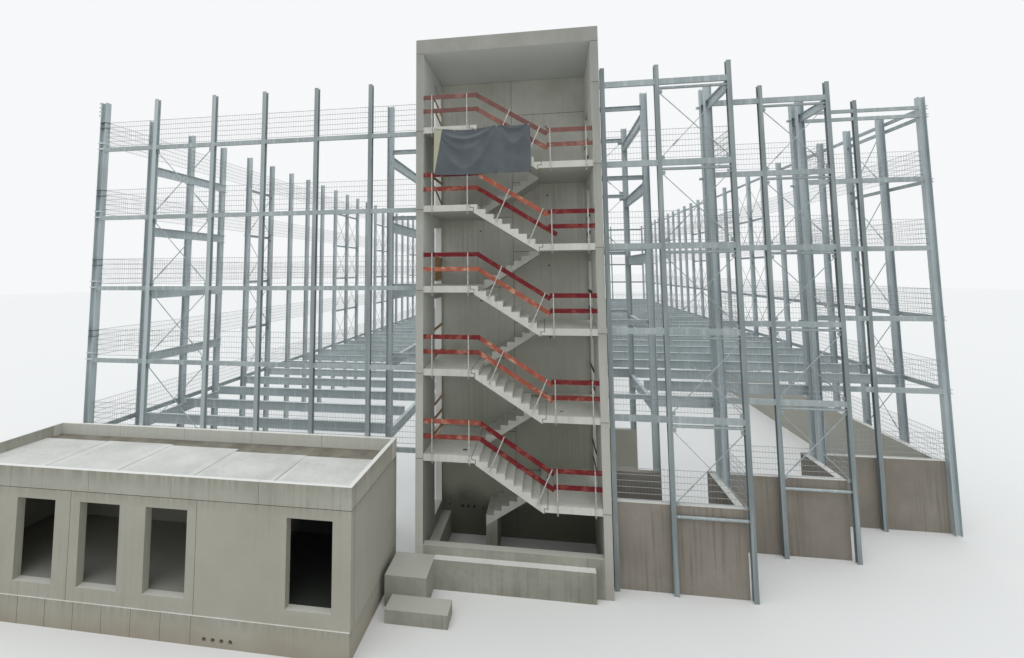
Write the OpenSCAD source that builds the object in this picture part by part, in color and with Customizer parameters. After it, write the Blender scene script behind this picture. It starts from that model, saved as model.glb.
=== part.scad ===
// Multi storey car park with split levels, half fitted out: a galvanised steel
// skeleton of columns, beams, brace rods and guard wires, a precast concrete stair
// tower that stands open at the front, and a flat roofed precast annexe.
// Half real size. X runs along the front, Y into the depth, Z up.
// The origin is on the ground under the middle of the tower's open front.

/* [Levels] */
// Storey height, deck to deck
storey = 1400; // [1360:10:1440]
// Entrance floor above the lowest ground
base_drop = 640; // [600:10:680]
// Top of the steel posts above the entrance floor
post_top = 7950; // [7900:10:8000]

/* [Steel grid] */
// Spacing of the frames along the depth
bay_y = 1250; // [1200:10:1300]
// Number of bays along the depth
bays = 26; // [26:1:30]
// Axis of the first left frame behind the tower front
left_frame_y = 300; // [290:5:330]
// Offset of the right frames behind the left ones
frame_shift = 90; // [70:5:110]
// Middle of the tower to the axis of the left outer columns
left_row_x = 8252; // [8200:2:8300]
// Outermost front bay of the left half
left_bay_out = 1215; // [1190:5:1240]
// Second front bay of the left half, the braced one
left_bay_braced = 1280; // [1260:5:1300]
// Other front bays of the left half
left_bay_in = 1075; // [1060:5:1085]
// Right face of the tower to the axis of the first right post
right_gap = 79.5; // [76:0.5:84]
// Outermost front bay of the right half
right_bay_out = 1240; // [1220:5:1260]
// Bays two and three of the right half
right_bay_mid = 1160; // [1150:5:1170]
// Bay of the right half where the front steps back
right_bay_step = 1015; // [1000:5:1030]
// Inner braced bay of the right half
right_bay_braced = 1155; // [1140:5:1170]
// Bay of the right half beside the tower
right_bay_tower = 900; // [890:5:910]
// Distance between the two middle column rows
middle_gap = 140; // [130:2:160]
// Middle of the tower to the left ramp columns
left_ramp_x = 2552; // [2530:2:2570]
// Middle of the tower to the right ramp columns
right_ramp_x = 2612; // [2600:2:2640]
// Width of the braced part of the ramp bay's rear frame
ramp_brace_w = 1500; // [1400:10:1560]
// Distance between the two columns where the front steps back
pair_gap = 270; // [240:5:300]

/* [Steel sections] */
// Width and depth of an outer column
col_w = 120; // [100:5:140]
// Width of a front post across the front
post_w = 76; // [60:2:90]
// Depth of a front post
post_d = 80; // [70:2:90]
// Flange thickness of columns, posts and deck beams
flange_t = 7; // [5:0.5:9]
// Web thickness of columns, posts and deck beams
web_t = 5; // [4:0.5:6]
// Height of a front beam of the left half
beam_h = 80; // [60:2:90]
// Height of a front beam of the right half
right_beam_h = 100; // [90:2:110]
// Flange width of a front beam
beam_w = 44; // [36:2:50]
// Height of an edge beam along a side
edge_h = 90; // [70:5:110]
// Height of a deck beam across a half
deck_beam_h = 200; // [160:5:240]
// Width of a deck beam
deck_beam_w = 80; // [60:5:90]
// Height of a thin tie along a side
tie_h = 70; // [60:2:80]
// Height of the deep beams of the ramp bay and of the left headers
ramp_beam_h = 200; // [180:5:240]
// Top of these deep beams below the deck
ramp_beam_drop = 120; // [110:5:140]
// Flange width of a left header
header_w = 55; // [45:1:65]
// Height of a cross beam of the ramp bay
cross_h = 80; // [70:2:90]
// Height of a beam where the front steps back
step_beam_h = 150; // [120:5:160]
// Diameter of a strut tube
tube_d = 50; // [40:1:60]
// Middle of a strut tube below the deck
tube_drop = 155; // [140:1:170]
// Thickness of an end plate
end_plate = 10; // [8:1:14]
// Thickness of a brace rod
rod_t = 12; // [8:1:14]
// Length of a gusset plate from the post's web
gusset_l = 90; // [80:5:110]
// Height of a gusset plate
gusset_h = 60; // [50:5:80]
// Thickness of a gusset plate
gusset_t = 8; // [6:1:10]
// Thickness of a guard wire
wire_t = 6; // [5:0.5:8]
// Spacing of the guard wires
wire_gap = 98; // [90:1:104]
// Lowest guard wire above the deck
wire_low = 46; // [40:1:60]
// Number of guard wires in a band
wires = 6; // [5:1:6]
// Gap between the ends of two guard wires at a corner
wire_end = 2; // [1:0.5:4]

/* [Stair tower] */
// Outer width of the tower
tower_w = 3175; // [3100:5:3200]
// Thickness of the side walls
wall_t = 130; // [110:5:150]
// Thickness of the back wall
back_t = 125; // [100:5:150]
// Clear depth of the tower, front edge to back wall
tower_in = 1585; // [1560:5:1620]
// Underside of the tower roof above the entrance floor
ceiling_z = 8350; // [8300:10:8400]
// Depth of the roof edge that shows at the front
fascia_h = 255; // [200:5:300]
// Thickness of the roof slab
roof_t = 125; // [100:5:150]
// Chamfer on the edges of the wall panels
panel_chamfer = 7; // [4:1:10]
// Joint between stacked panels
panel_gap = 0.3; // [0.2:0.1:0.6]
// Panel joint below the landing top
joint_drop = 70; // [50:5:90]
// Front edge of a doorway behind the tower front
door_y = 890; // [850:5:930]
// Width of a doorway
door_w = 620; // [560:5:640]
// Height of a doorway
door_h = 1130; // [1080:5:1180]

/* [Stair] */
// Going of one tread
tread = 140; // [136:1:144]
// Steps in one flight
steps = 8; // [8:1:8]
// Length of a left landing up to the first step
left_landing = 950; // [900:5:1000]
// Thickness of a landing slab
landing_t = 110; // [96:2:124]
// Width of a flight
flight_w = 725; // [690:5:745]
// Setback of landings and front flights from the tower front
front_set = 20; // [10:1:30]
// Thickness of a flight below its inner corners
waist = 94; // [80:2:110]
// Flat end of a flight that lies on the landing
flat_end = 125; // [100:5:150]
// Overlap of flight and landing at the half lap
lap = 60; // [50:2:70]

/* [Guard rails] */
// Side of a guard post tube
rail_post = 18; // [14:1:20]
// Height of a guard board
board_h = 75; // [60:1:85]
// Thickness of a guard board
board_t = 15; // [12:1:18]
// Height of the upper board, to its middle
board_high = 540; // [510:5:560]
// Height of the lower board, to its middle
board_low = 290; // [260:5:320]
// Height of a guard post above the landing
post_h = 575; // [560:5:620]
// Lean of the guard posts on the flights, in degrees
rail_lean = 24; // [20:1:30]
// First left guard post from the side wall
rail_wall_l = 153; // [140:1:170]
// Last left guard post before the first step
rail_step_l = 168; // [150:2:180]
// First right guard post behind the last step
rail_step_r = 280; // [260:5:300]
// Last right guard post from the side wall
rail_wall_r = 110; // [100:2:130]
// A left board runs past the first step
board_over_l = 30; // [20:5:50]
// A flight board runs past the last step
board_over_r = 235; // [225:5:260]

// Left edge of the banner from the left side wall
banner_in = 197; // [180:1:240]
// Width of the banner
banner_w = 1680; // [1600:10:1700]
// Height of the banner
banner_h = 815; // [780:5:850]
// Thickness of the hanging banner with its folds
banner_t = 12; // [8:1:14]
// Top of the banner below the upper left landing
banner_drop = 30; // [10:5:50]

/* [Tower base] */
// Thickness of the kerb across the open front
kerb_t = 150; // [120:5:180]
// Top of the kerb below the entrance floor
kerb_drop = 45; // [30:5:60]
// Projection of the footing ledge before the kerb
ledge_front = 130; // [100:5:160]
// Right end of the ledge from the tower's right face
ledge_in = 272; // [240:2:300]
// Top of the ledge and the upper block below the entrance floor
ledge_top = 185; // [160:5:210]
// Left end of the upper block beyond the tower's left face
block_out = 312; // [280:2:340]
// Width of the upper block
block_w = 655; // [600:5:700]
// Depth of the upper block before the tower front
block_d = 635; // [600:5:680]
// Left end of the lower block from that of the upper one
low_block_in = 120; // [80:5:160]
// Width of the lower block
low_block_w = 935; // [880:5:980]
// Depth of the lower block
low_block_d = 350; // [300:5:400]
// Height of the lower block
low_block_h = 190; // [150:5:230]
// Length of the block under the lowest flight
stair_foot = 200; // [150:10:240]
// Width of the footing strip inside the left wall
footing_w = 175; // [160:5:200]
// Top of this footing strip below the entrance floor
footing_top = 220; // [200:5:240]

/* [Annexe] */
// Clear passage between the annexe and the tower
annexe_gap = 402.5; // [380:2.5:420]
// Length of the annexe
annexe_l = 6770; // [6700:10:6900]
// Depth of the annexe, which backs onto the front posts
annexe_d = 2005; // [1980:5:2040]
// Annexe wall thickness
annexe_wall = 120; // [100:5:140]
// Top of the annexe walls above the entrance floor
annexe_wall_h = 1263; // [1240:1:1280]
// Height of the edge panels above the walls
annexe_edge_h = 302; // [280:2:320]
// Thickness of the edge panels
annexe_edge_t = 70; // [60:2:90]
// Thickness of the annexe roof slabs
annexe_slab_t = 120; // [100:5:140]
// Width of the gutter strip behind the slabs at its narrow end
gutter_w = 280; // [260:5:300]
// Joint between two roof slabs or two edge panels
slab_gap = 5; // [3:1:8]
// Depth of this gutter below the slab tops
gutter_drop = 20; // [15:1:30]
// Thickness of the annexe's floor slab
annexe_floor_t = 100; // [80:5:140]
// Width of an annexe window or door
win_w = 664; // [620:2:690]
// Top of the windows and the door above the entrance floor
win_top = 1117; // [1100:1:1140]
// Sill of the windows and the door below the entrance floor
sill = 64; // [50:2:80]
// Annexe's right face to the nearest side of the door
door_in = 265; // [240:5:300]
// Annexe's right face to the nearest side of the first window
window_in = 2438; // [2400:2:2460]
// Spacing of the windows
window_gap = 1086; // [1070:2:1100]
// Annexe's right face to the first pipe hole
pipe_in = 1701; // [1680:3:1740]
// Spacing of the pipe holes
pipe_gap = 132; // [120:2:140]
// Diameter of a pipe hole
pipe_d = 64; // [50:2:70]
// Middle of the pipe holes below the entrance floor
pipe_drop = 550; // [530:5:570]
// Top of the plinth ledge below the entrance floor
ledge_drop = 262; // [240:2:280]
// Projection of the plinth ledge
ledge = 16; // [8:1:20]

/* [Plinth] */
// Thickness of the plinth walls of the right half
plinth_t = 120; // [100:5:140]

/* [Hidden] */

concrete = "#a9a89f";
steel = "#9aa6ad";
red = "#b0301c";

z0 = base_drop;
riser = storey / 2 / steps;
half_w = tower_w / 2;
in_x = half_w - wall_t;
tower_d = tower_in + back_t;
step_x = -in_x + left_landing;
run = (steps - 1) * tread;
top_z = z0 + post_top;

// Height of a left deck, counted from 1, and of a right deck half a storey below it
function zl(k) = z0 + storey * k;
function zr(k) = z0 + storey * (k - 0.5);
// Axes of the left and right frames, counted from 0 at the front
function left_y(k) = left_frame_y + k * bay_y;
function right_y(k) = left_y(k) + frame_shift;
// Front posts are flush with the faces of the corner columns
inset = (col_w - post_d) / 2;
front_y = left_y(0) - inset;
// Front post axes from the outer corner inwards
left_bays = [left_bay_out, left_bay_braced, left_bay_in, left_bay_in, left_bay_in, left_bay_in];
function left_x(i) = i == 0 ? -left_row_x : left_x(i - 1) + left_bays[i - 1];
right_bays = [right_bay_out, right_bay_mid, right_bay_mid, right_bay_step, right_bay_braced,
  right_bay_tower];
right_row_x = half_w + right_gap + right_bay_out + 2 * right_bay_mid + right_bay_step
  + right_bay_braced + right_bay_tower;
function right_x(i) = i == 0 ? right_row_x : right_x(i - 1) - right_bays[i - 1];
// The right front steps back at these two axes
step_x1 = right_x(4);
step_x2 = right_x(2);
// Middle column faces, left and right
mid_l = -middle_gap / 2 - col_w / 2;
mid_r = middle_gap / 2 + col_w / 2;
mid_ramp_x = right_ramp_x - ramp_brace_w;
// Braced bays of the long sides: first frame and number of bays
left_braced = [[4, 1], [9, 2], [13, 2], [18, 2], [22, 2]];
right_braced = [[3, 1], [8, 2], [13, 2], [18, 2], [22, 2]];

// H section on its axis, flanges facing Y, standing along Z
module h_post(w, d, z1, z2) {
  translate([0, 0, z1]) linear_extrude(z2 - z1) h_outline(w, d);
}
module h_outline(w, d) {
  a = w / 2; b = d / 2; c = b - flange_t; s = web_t / 2;
  polygon([[-a, -b], [a, -b], [a, -c], [s, -c], [s, c], [a, c], [a, b], [-a, b],
    [-a, c], [-s, c], [-s, -c], [-a, -c]]);
}
// H section with its flanges level, lying along X from x1 to x2, top at z
module h_beam(w, d, x1, x2, z) {
  translate([x1, 0, z - d / 2]) rotate([90, 0, 90]) linear_extrude(x2 - x1) h_outline(w, d);
}
// Channel along X, web in front and open to the back, top at z, web face at y 0
module channel(x1, x2, z, w = beam_w, h = beam_h) {
  t = flange_t;
  translate([x1, 0, z - h]) rotate([90, 0, 90]) linear_extrude(x2 - x1)
    polygon([[0, 0], [w, 0], [w, t], [t, t], [t, h - t], [w, h - t], [w, h], [0, h]]);
}
// Wall panel lying in the YZ plane: chamfered along its level edges
module panel_x(x1, x2, y1, y2, z1, z2) {
  c = panel_chamfer;
  translate([0, y2, 0]) rotate([90, 0, 0]) linear_extrude(y2 - y1)
    polygon([[x1 + c, z1], [x2 - c, z1], [x2, z1 + c], [x2, z2 - c], [x2 - c, z2],
      [x1 + c, z2], [x1, z2 - c], [x1, z1 + c]]);
}
// Wall panel lying in the XZ plane
module panel_y(x1, x2, y1, y2, z1, z2) {
  c = panel_chamfer;
  translate([x1, 0, 0]) rotate([90, 0, 90]) linear_extrude(x2 - x1)
    polygon([[y1 + c, z1], [y2 - c, z1], [y2, z1 + c], [y2, z2 - c], [y2 - c, z2],
      [y1 + c, z2], [y1, z2 - c], [y1, z1 + c]]);
}

// Lower edges of the stacked panels and, last, the underside of the roof
left_stack = concat([0], [for (k = [1:5]) zl(k) - joint_drop], [z0 + ceiling_z]);
right_stack = concat([0], [for (k = [1:6]) zr(k) - joint_drop], [z0 + ceiling_z]);
function panel_bottom(stack, i) = stack[i] + (i == 0 ? 0 : panel_gap);

// Side wall of storey-high panels with a doorway at each landing and, on the left, at
// the entrance
module side_wall(x1, stack, doors) for (i = [0:len(stack) - 2]) difference() {
  panel_x(x1, x1 + wall_t, 0, tower_d, panel_bottom(stack, i), stack[i + 1]);
  for (z = doors) if (z > stack[i] && z < stack[i + 1])
    translate([x1 - 10, door_y, z]) cube([wall_t + 20, door_w, door_h]);
}
module tower_left_wall() color(concrete)
  side_wall(-half_w, left_stack, [for (k = [0:5]) zl(k)]);
module tower_right_wall() color(concrete)
  side_wall(in_x, right_stack, [for (k = [1:5]) zr(k)]);

// Back wall between the side walls: two stacks of panels, staggered by half a storey
module tower_back_wall() color(concrete) {
  back_stack(left_stack, -in_x, -panel_gap / 2);
  back_stack(right_stack, panel_gap / 2, in_x);
}
module back_stack(stack, x1, x2) for (i = [0:len(stack) - 2])
  panel_y(x1, x2, tower_in, tower_d, panel_bottom(stack, i), stack[i + 1]);

// Roof slab with a raised edge round it
module tower_roof() color(concrete) {
  z = z0 + ceiling_z;
  e = wall_t;
  difference() {
    translate([-half_w, 0, z]) cube([tower_w, tower_d, fascia_h]);
    translate([-half_w + e, e, z + roof_t]) cube([tower_w - 2 * e, tower_d - 2 * e, fascia_h]);
  }
}

// Kerb between the walls, the footing ledge and blocks before it, and the stair's foot
module tower_base() color(concrete) {
  translate([-in_x, 0, 0]) cube([2 * in_x, kerb_t, z0 - kerb_drop]);
  translate([-in_x, kerb_t, 0]) cube([footing_w, tower_in - kerb_t, z0 - footing_top]);
  translate([-in_x, -ledge_front, 0]) cube([in_x + ledge_right, ledge_front, z0 - ledge_top]);
  translate([block_x, -block_d, 0]) cube([block_w, block_d, z0 - ledge_top]);
  translate([low_block_x, -block_d - low_block_d, 0]) cube([low_block_w, low_block_d, low_block_h]);
  xf = step_x + run;
  rear_flight() polygon([[xf - stair_foot, 0], [xf, 0], [xf, soffit(zr(1), xf)],
    [xf - stair_foot, soffit(zr(1), xf - stair_foot)]]);
}
ledge_right = half_w - ledge_in;
block_x = -half_w - block_out;
low_block_x = block_x + low_block_in;

// Landing slabs with the lower half of the lap on the flight side
module left_landings() color(concrete) for (k = [1:5])
  translate([0, tower_in, 0]) rotate([90, 0, 0]) linear_extrude(tower_in - front_set)
    landing_outline(-in_x, step_x - flat_end, lap, zl(k));
module right_landings() color(concrete) for (k = [1:5])
  translate([0, tower_in, 0]) rotate([90, 0, 0]) linear_extrude(tower_in - front_set)
    landing_outline(in_x, step_x + run + flat_end, -lap, zr(k));
module landing_outline(xw, xe, l, z)
  polygon([[xw, z], [xe, z], [xe, z - landing_t / 2], [xe + l, z - landing_t / 2],
    [xe + l, z - landing_t], [xw, z - landing_t]]);

// One flight that falls to the right from level z, cast with its treads. The lowest
// one ends at its last riser
function soffit(z, x) = z - riser - (x - step_x) * riser / tread - waist;
module flight_outline(z, lowest = false) {
  xa = step_x - flat_end; xb = step_x + run + flat_end; xf = step_x + run;
  low = z - storey / 2;
  polygon(concat([[xa, z]],
    [for (i = [0:steps - 2]) each [[step_x + i * tread, z - i * riser],
      [step_x + i * tread, z - (i + 1) * riser]]],
    [[xf, low + riser]],
    lowest ? [[xf, soffit(z, xf)]] : [[xf, low], [xb, low], [xb, low - landing_t / 2],
      [xb - lap, low - landing_t / 2], [xb - lap, soffit(z, xb - lap)]],
    [[xa + lap, soffit(z, xa + lap)], [xa + lap, z - landing_t / 2], [xa, z - landing_t / 2]]));
}
module front_flights() color(concrete) for (k = [1:5])
  translate([0, front_set + flight_w, 0]) rotate([90, 0, 0]) linear_extrude(flight_w)
    flight_outline(zl(k));
// The rear flights fall to the left, from a right landing to the left one below
module rear_flights() color(concrete) for (k = [1:5])
  rear_flight() flight_outline(zr(k), k == 1);
module rear_flight() translate([0, tower_in, 0]) rotate([90, 0, 0]) linear_extrude(flight_w)
  translate([2 * step_x + run, 0]) mirror([1, 0]) children();

// Guard posts clamped to the front edges, and boards behind them
module guard_posts() color(steel) {
  for (k = [1:5]) {
    for (x = [-in_x + rail_wall_l, step_x - rail_step_l]) rail_post_at(x, zl(k));
    for (x = [step_x + run + rail_step_r, in_x - rail_wall_r]) rail_post_at(x, zr(k));
  }
  for (k = [1:5], f = flight_posts[k - 1])
    translate([step_x + f * run, front_set - rail_post, soffit(zl(k), step_x + f * run) + 60])
      rotate([0, rail_lean, 0]) translate([-rail_post / 2, 0, 0])
        cube([rail_post, rail_post, post_h + 45]);
}
// Feet of the two posts of each flight, as parts of its run, from the lowest flight up
flight_posts = [[0.17, 0.95], [0.18, 0.9], [0.17, 0.9], [0.32, 0.89], [0.34, 0.86]];
module rail_post_at(x, z) translate([x - rail_post / 2, front_set - rail_post, z - landing_t])
  cube([rail_post, rail_post, post_h + landing_t]);
module landing_boards() color(red) for (k = [1:5], h = [board_low, board_high]) {
  translate([-in_x, front_set, zl(k) + h - board_h / 2])
    cube([left_landing + board_over_l, board_t, board_h]);
  x = step_x + run + board_over_r - 15;
  translate([x, front_set, zr(k) + h - board_h / 2]) cube([in_x - x, board_t, board_h]);
}
// The lower board of the fourth flight is a longer one
module flight_boards() color(red) for (k = [1:5], h = [board_low, board_high]) {
  a = atan(riser / tread);
  l = run + board_over_r + (k == 4 && h == board_low ? 125 : 0);
  translate([step_x, front_set + board_t, zl(k) + h]) rotate([0, a, 0])
    translate([0, 0, -board_h / 2]) cube([l / cos(a), board_t, board_h]);
}

// Banner of strong cloth that hangs before the guard posts
module banner_sheet() color("#3a3f44")
  translate([-in_x + banner_in, front_set - rail_post - banner_t, zl(5) - banner_drop - banner_h])
    cube([banner_w, banner_t, banner_h]);

// Long rows of columns, one at each frame, with their flanges facing sideways
module column(x, y, z = 0) translate([x, y, 0]) rotate(90) h_post(col_w, col_w, z, top_z);
module left_columns() color(steel) for (k = [0:bays]) column(-left_row_x, left_y(k));
module right_columns() color(steel) for (k = [2:bays]) column(right_row_x, right_y(k));
module middle_columns() color(steel) for (k = [3:bays - 1]) {
  column(-middle_gap / 2, left_y(k));
  column(middle_gap / 2, right_y(k));
}
// Columns of the ramp bay, on the right on its plinth walls, and the pairs where the
// front steps back
module ramp_columns() color(steel) {
  for (k = [1, 3]) {
    column(-left_ramp_x, left_y(k));
    column(right_ramp_x, right_y(k), zr(1));
  }
  column(mid_ramp_x, right_y(3), zr(1));
  for (y = [0, -pair_gap]) {
    column(step_x1, right_y(1) + y);
    column(step_x2, right_y(2) + y);
  }
}

module front_post(x, y) translate([x, y, 0]) h_post(post_w, post_d, 0, top_z);
module left_front_posts() color(steel) for (i = [1:5]) front_post(left_x(i), front_y);
// The three groups of the right front: post numbers, depth of the axis, frame number
right_groups = [[[4, 5, 6], front_y], [[2, 3], right_y(1) - inset], [[1], right_y(2) - inset]];
module right_front_posts() color(steel) for (g = right_groups, i = g[0]) front_post(right_x(i), g[1]);
module rear_posts() color(steel) for (i = [1:6]) {
  front_post(left_x(i), left_y(bays) + inset);
  front_post(right_x(i), right_y(bays) + inset);
}

// Front beams from post to post at each deck
module left_front_beams() color(steel) for (k = [1:5], i = [0:5]) {
  x1 = left_x(i) + (i == 0 ? col_w : post_w) / 2;
  x2 = i == 5 ? -half_w : left_x(i + 1) - post_w / 2;
  translate([0, front_y - post_d / 2, 0]) channel(x1, x2, zl(k));
}
module right_front_beams() color(steel) for (k = [2:6]) {
  span(half_w, right_x(6) - post_w / 2, 0, zr(k));
  span(right_x(6) + post_w / 2, right_x(5) - post_w / 2, 0, zr(k));
  span(right_x(5) + post_w / 2, step_x1 - post_w / 2, 0, zr(k));
  span(step_x1 + col_w / 2, right_x(3) - post_w / 2, 1, zr(k));
  span(right_x(3) + post_w / 2, step_x2 - post_w / 2, 1, zr(k));
  // The beams at the corner: a pair at the top deck
  for (z = k == 6 ? top_pair : [[zr(k), right_beam_h]]) {
    span(step_x2 + col_w / 2, right_x(1) - post_w / 2, 2, z[0], z[1]);
    span(right_x(1) + post_w / 2, right_row_x - col_w / 2, 2, z[0], z[1]);
  }
}
top_pair = [[zr(6) + 60, tie_h], [zr(6) - 110, tie_h]];
module span(x1, x2, g, z, h = right_beam_h)
  translate([0, right_groups[g][1] - post_d / 2, 0]) channel(x1, x2, z, h = h);
module rear_beams() color(steel) for (i = [0:5]) {
  w = (i == 0 ? col_w : post_w) / 2;
  for (k = [1:5]) rear_span(left_y(bays), left_x(i) + w, left_x(i + 1) - post_w / 2, zl(k), beam_h);
  for (k = [2:6])
    rear_span(right_y(bays), right_x(i + 1) + post_w / 2, right_x(i) - w, zr(k), right_beam_h);
}
module rear_span(y, x1, x2, z, h)
  translate([0, y + inset + post_d / 2, 0]) mirror([0, 1, 0]) channel(x1, x2, z, h = h);

// Channels along Y on one side of x, web against x, top at z
module side_channel(x, s, y1, y2, z, w, h) {
  t = flange_t;
  translate([x, y2, z - h]) rotate([90, 0, 0]) mirror([s < 0 ? 1 : 0, 0]) linear_extrude(y2 - y1)
    polygon([[0, 0], [w, 0], [w, t], [t, t], [t, h - t], [w, h - t], [w, h], [0, h]]);
}
// Edge beams and ties that run along the outer faces of the column rows
left_face = -left_row_x - col_w / 2;
right_face = right_row_x + col_w / 2;
module left_edge_beams() color(steel) {
  side_channel(left_face, -1, left_y(0) - col_w / 2, left_y(bays) + col_w / 2, zl(1), beam_w, edge_h);
  for (k = [2:5], b = left_braced) side_channel(left_face, -1, left_y(b[0]) - col_w / 2,
    left_y(b[0] + b[1]) + col_w / 2, zl(k), beam_w, tie_h);
}
module right_edge_beams() color(steel) {
  ya = right_y(2) - col_w / 2; yb = right_y(bays) + col_w / 2;
  for (k = [2, 3]) side_channel(right_face, 1, ya, yb, zr(k), beam_w, edge_h);
  side_channel(right_face, 1, ya, yb, top_pair[0][0], beam_w, tie_h);
  for (z = [zr(5) - 50, top_pair[1][0]])
    side_channel(right_face, 1, ya, right_y(4) + col_w / 2, z, beam_w, tie_h);
  for (k = [4, 5], b = right_braced) if (b[0] > 4) side_channel(right_face, 1,
    right_y(b[0]) - col_w / 2, right_y(b[0] + b[1]) + col_w / 2, zr(k), beam_w, tie_h);
}
// Deep headers on the inner faces of the first left columns
module left_header_beams() color(steel) for (k = [1:5])
  side_channel(-left_row_x + col_w / 2, 1, left_y(1) - col_w / 2, left_y(3) + col_w / 2,
    zl(k) - ramp_beam_drop, header_w, ramp_beam_h);

// Deck beams of the first level that is fitted, one at each frame; beside the ramp
// bay they end on its columns, on its deep beams and on the headers
module left_deck_beams() color(steel) {
  x1 = -left_row_x + col_w / 2;
  for (k = [1:3]) deck_beam(x1 + header_w, -left_ramp_x - (k == 2 ? deck_beam_w : col_w) / 2,
    left_y(k), zl(1));
  deck_beam(-left_ramp_x + col_w / 2, mid_l, left_y(3), zl(1));
  for (k = [4:bays - 1]) deck_beam(x1, mid_l, left_y(k), zl(1));
}
module right_deck_beams() color(steel) {
  x2 = right_row_x - col_w / 2;
  deck_beam(right_ramp_x + col_w / 2, step_x1 - col_w / 2, right_y(1), zr(2));
  deck_beam(right_ramp_x + deck_beam_w / 2, step_x2 - col_w / 2, right_y(2), zr(2));
  deck_beam(mid_r, mid_ramp_x - col_w / 2, right_y(3), zr(2));
  deck_beam(mid_ramp_x + col_w / 2, right_ramp_x - col_w / 2, right_y(3), zr(2));
  deck_beam(right_ramp_x + col_w / 2, x2, right_y(3), zr(2));
  for (k = [4:bays - 1]) deck_beam(mid_r, x2, right_y(k), zr(2));
}
module deck_beam(x1, x2, y, z) translate([0, y, 0]) h_beam(deck_beam_w, deck_beam_h, x1, x2, z);

// H beams that close the top deck where the front steps back, from web to web
module step_beams() color(steel) for (g = [0, 1]) {
  x = g == 0 ? step_x1 : step_x2;
  y = right_y(g + 1);
  z = zr(6) - tie_h;
  y_beam(x, right_groups[g][1] + post_d / 2, y - pair_gap - web_t / 2, z, post_w, step_beam_h);
  y_beam(x, y - pair_gap + web_t / 2, y - web_t / 2, z, post_w, step_beam_h);
}
module y_beam(x, y1, y2, z, w, h) translate([x, y2, z - h / 2]) rotate([90, 0, 0])
  linear_extrude(y2 - y1) h_outline(w, h);

// Deep beams that trim the ramp bay, with end plates on the columns, and cross beams
module ramp_beams() color(steel) {
  for (k = [1:5]) ramp_beam(-left_ramp_x, left_y(1), left_y(3), zl(k));
  for (k = [2:6]) ramp_beam(right_ramp_x, right_y(1), right_y(3), zr(k));
  for (k = [2:5]) cross_beam(-left_ramp_x + col_w / 2, -half_w, left_y(1), zl(k));
  for (k = [2:6]) cross_beam(half_w, right_ramp_x - col_w / 2, right_y(1), zr(k));
  for (k = [3:6]) {
    cross_beam(mid_r, mid_ramp_x - col_w / 2, right_y(3), zr(k));
    cross_beam(mid_ramp_x + col_w / 2, right_ramp_x - col_w / 2, right_y(3), zr(k));
  }
}
module cross_beam(x1, x2, y, z) translate([0, y, 0]) h_beam(deck_beam_w, cross_h, x1, x2, z);
module ramp_beam(x, ya, yb, z) {
  y1 = ya + col_w / 2; y2 = yb - col_w / 2;
  top = z - ramp_beam_drop;
  y_beam(x, y1, y2, top, deck_beam_w, ramp_beam_h);
  for (y = [y1, y2 - end_plate]) translate([x - col_w / 2, y, top - ramp_beam_h])
    cube([col_w, end_plate, ramp_beam_h]);
}

// Crossed rods in the braced bays; gussets on the posts hold one rod on each face.
// The seat is where a gusset starts: the post's web, or its flange
module brace(xa, xb, y, za, zb, seat = web_t / 2) {
  xl = xa + seat; xr = xb - seat;
  for (x = [xl, xr - gusset_l], z = [za, zb - gusset_h])
    translate([x, y - gusset_t / 2, z]) cube([gusset_l, gusset_t, gusset_h]);
  x1 = xl + gusset_l - 60; x2 = xr - gusset_l + 60;
  z1 = za + gusset_h / 2; z2 = zb - gusset_h / 2;
  weld = 1;
  a = atan2(z2 - z1, x2 - x1);
  l = norm([x2 - x1, z2 - z1]);
  translate([x1, y - gusset_t / 2 - rod_t + weld, z1]) rotate([0, -a, 0])
    translate([0, 0, -rod_t / 2]) cube([l, rod_t, rod_t]);
  translate([x1, y + gusset_t / 2 - weld, z2]) rotate([0, a, 0])
    translate([0, 0, -rod_t / 2]) cube([l, rod_t, rod_t]);
}
clear = 10;
tube_bottom = tube_drop + tube_d / 2;
module left_brace_rods() color(steel) for (k = [1:4])
  brace(left_x(1), left_x(2), front_y, zl(k) + clear, zl(k + 1) - beam_h - clear);
module right_brace_rods() color(steel) {
  for (k = [1:5]) {
    low = zr(k) + clear; high = zr(k + 1) - tube_bottom - clear;
    brace(right_x(5), right_x(4), right_groups[0][1], low, high);
    brace(right_x(3), right_x(2), right_groups[1][1], low, high);
  }
  for (k = [4, 5])
    brace(mid_ramp_x, right_ramp_x, right_y(3), zr(k) + clear, zr(k + 1) - cross_h - clear,
      seat = col_w / 2);
}
module side_brace_rods() color(steel) {
  for (k = [1:4], b = left_braced, i = [0:b[1] - 1]) translate([-left_row_x, 0, 0]) rotate(90)
    brace(left_y(b[0] + i), left_y(b[0] + i + 1), 0, zl(k) + clear, zl(k + 1) - edge_h - clear);
  for (k = [1:5], b = right_braced, i = [0:b[1] - 1]) translate([right_row_x, 0, 0]) rotate(90)
    brace(right_y(b[0] + i), right_y(b[0] + i + 1), 0, zr(k) + clear,
      zr(k + 1) - 2 * edge_h - clear);
}
// Round struts of the two braced bays of the right front
module strut_tubes() color(steel) for (k = [1:6], i = [5, 3])
  translate([right_x(i) + web_t / 2, right_groups[i == 5 ? 0 : 1][1], zr(k) - tube_drop])
    rotate([0, 90, 0]) cylinder(d = tube_d, h = right_bays[i - 1] - web_t, $fn = 24);

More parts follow.
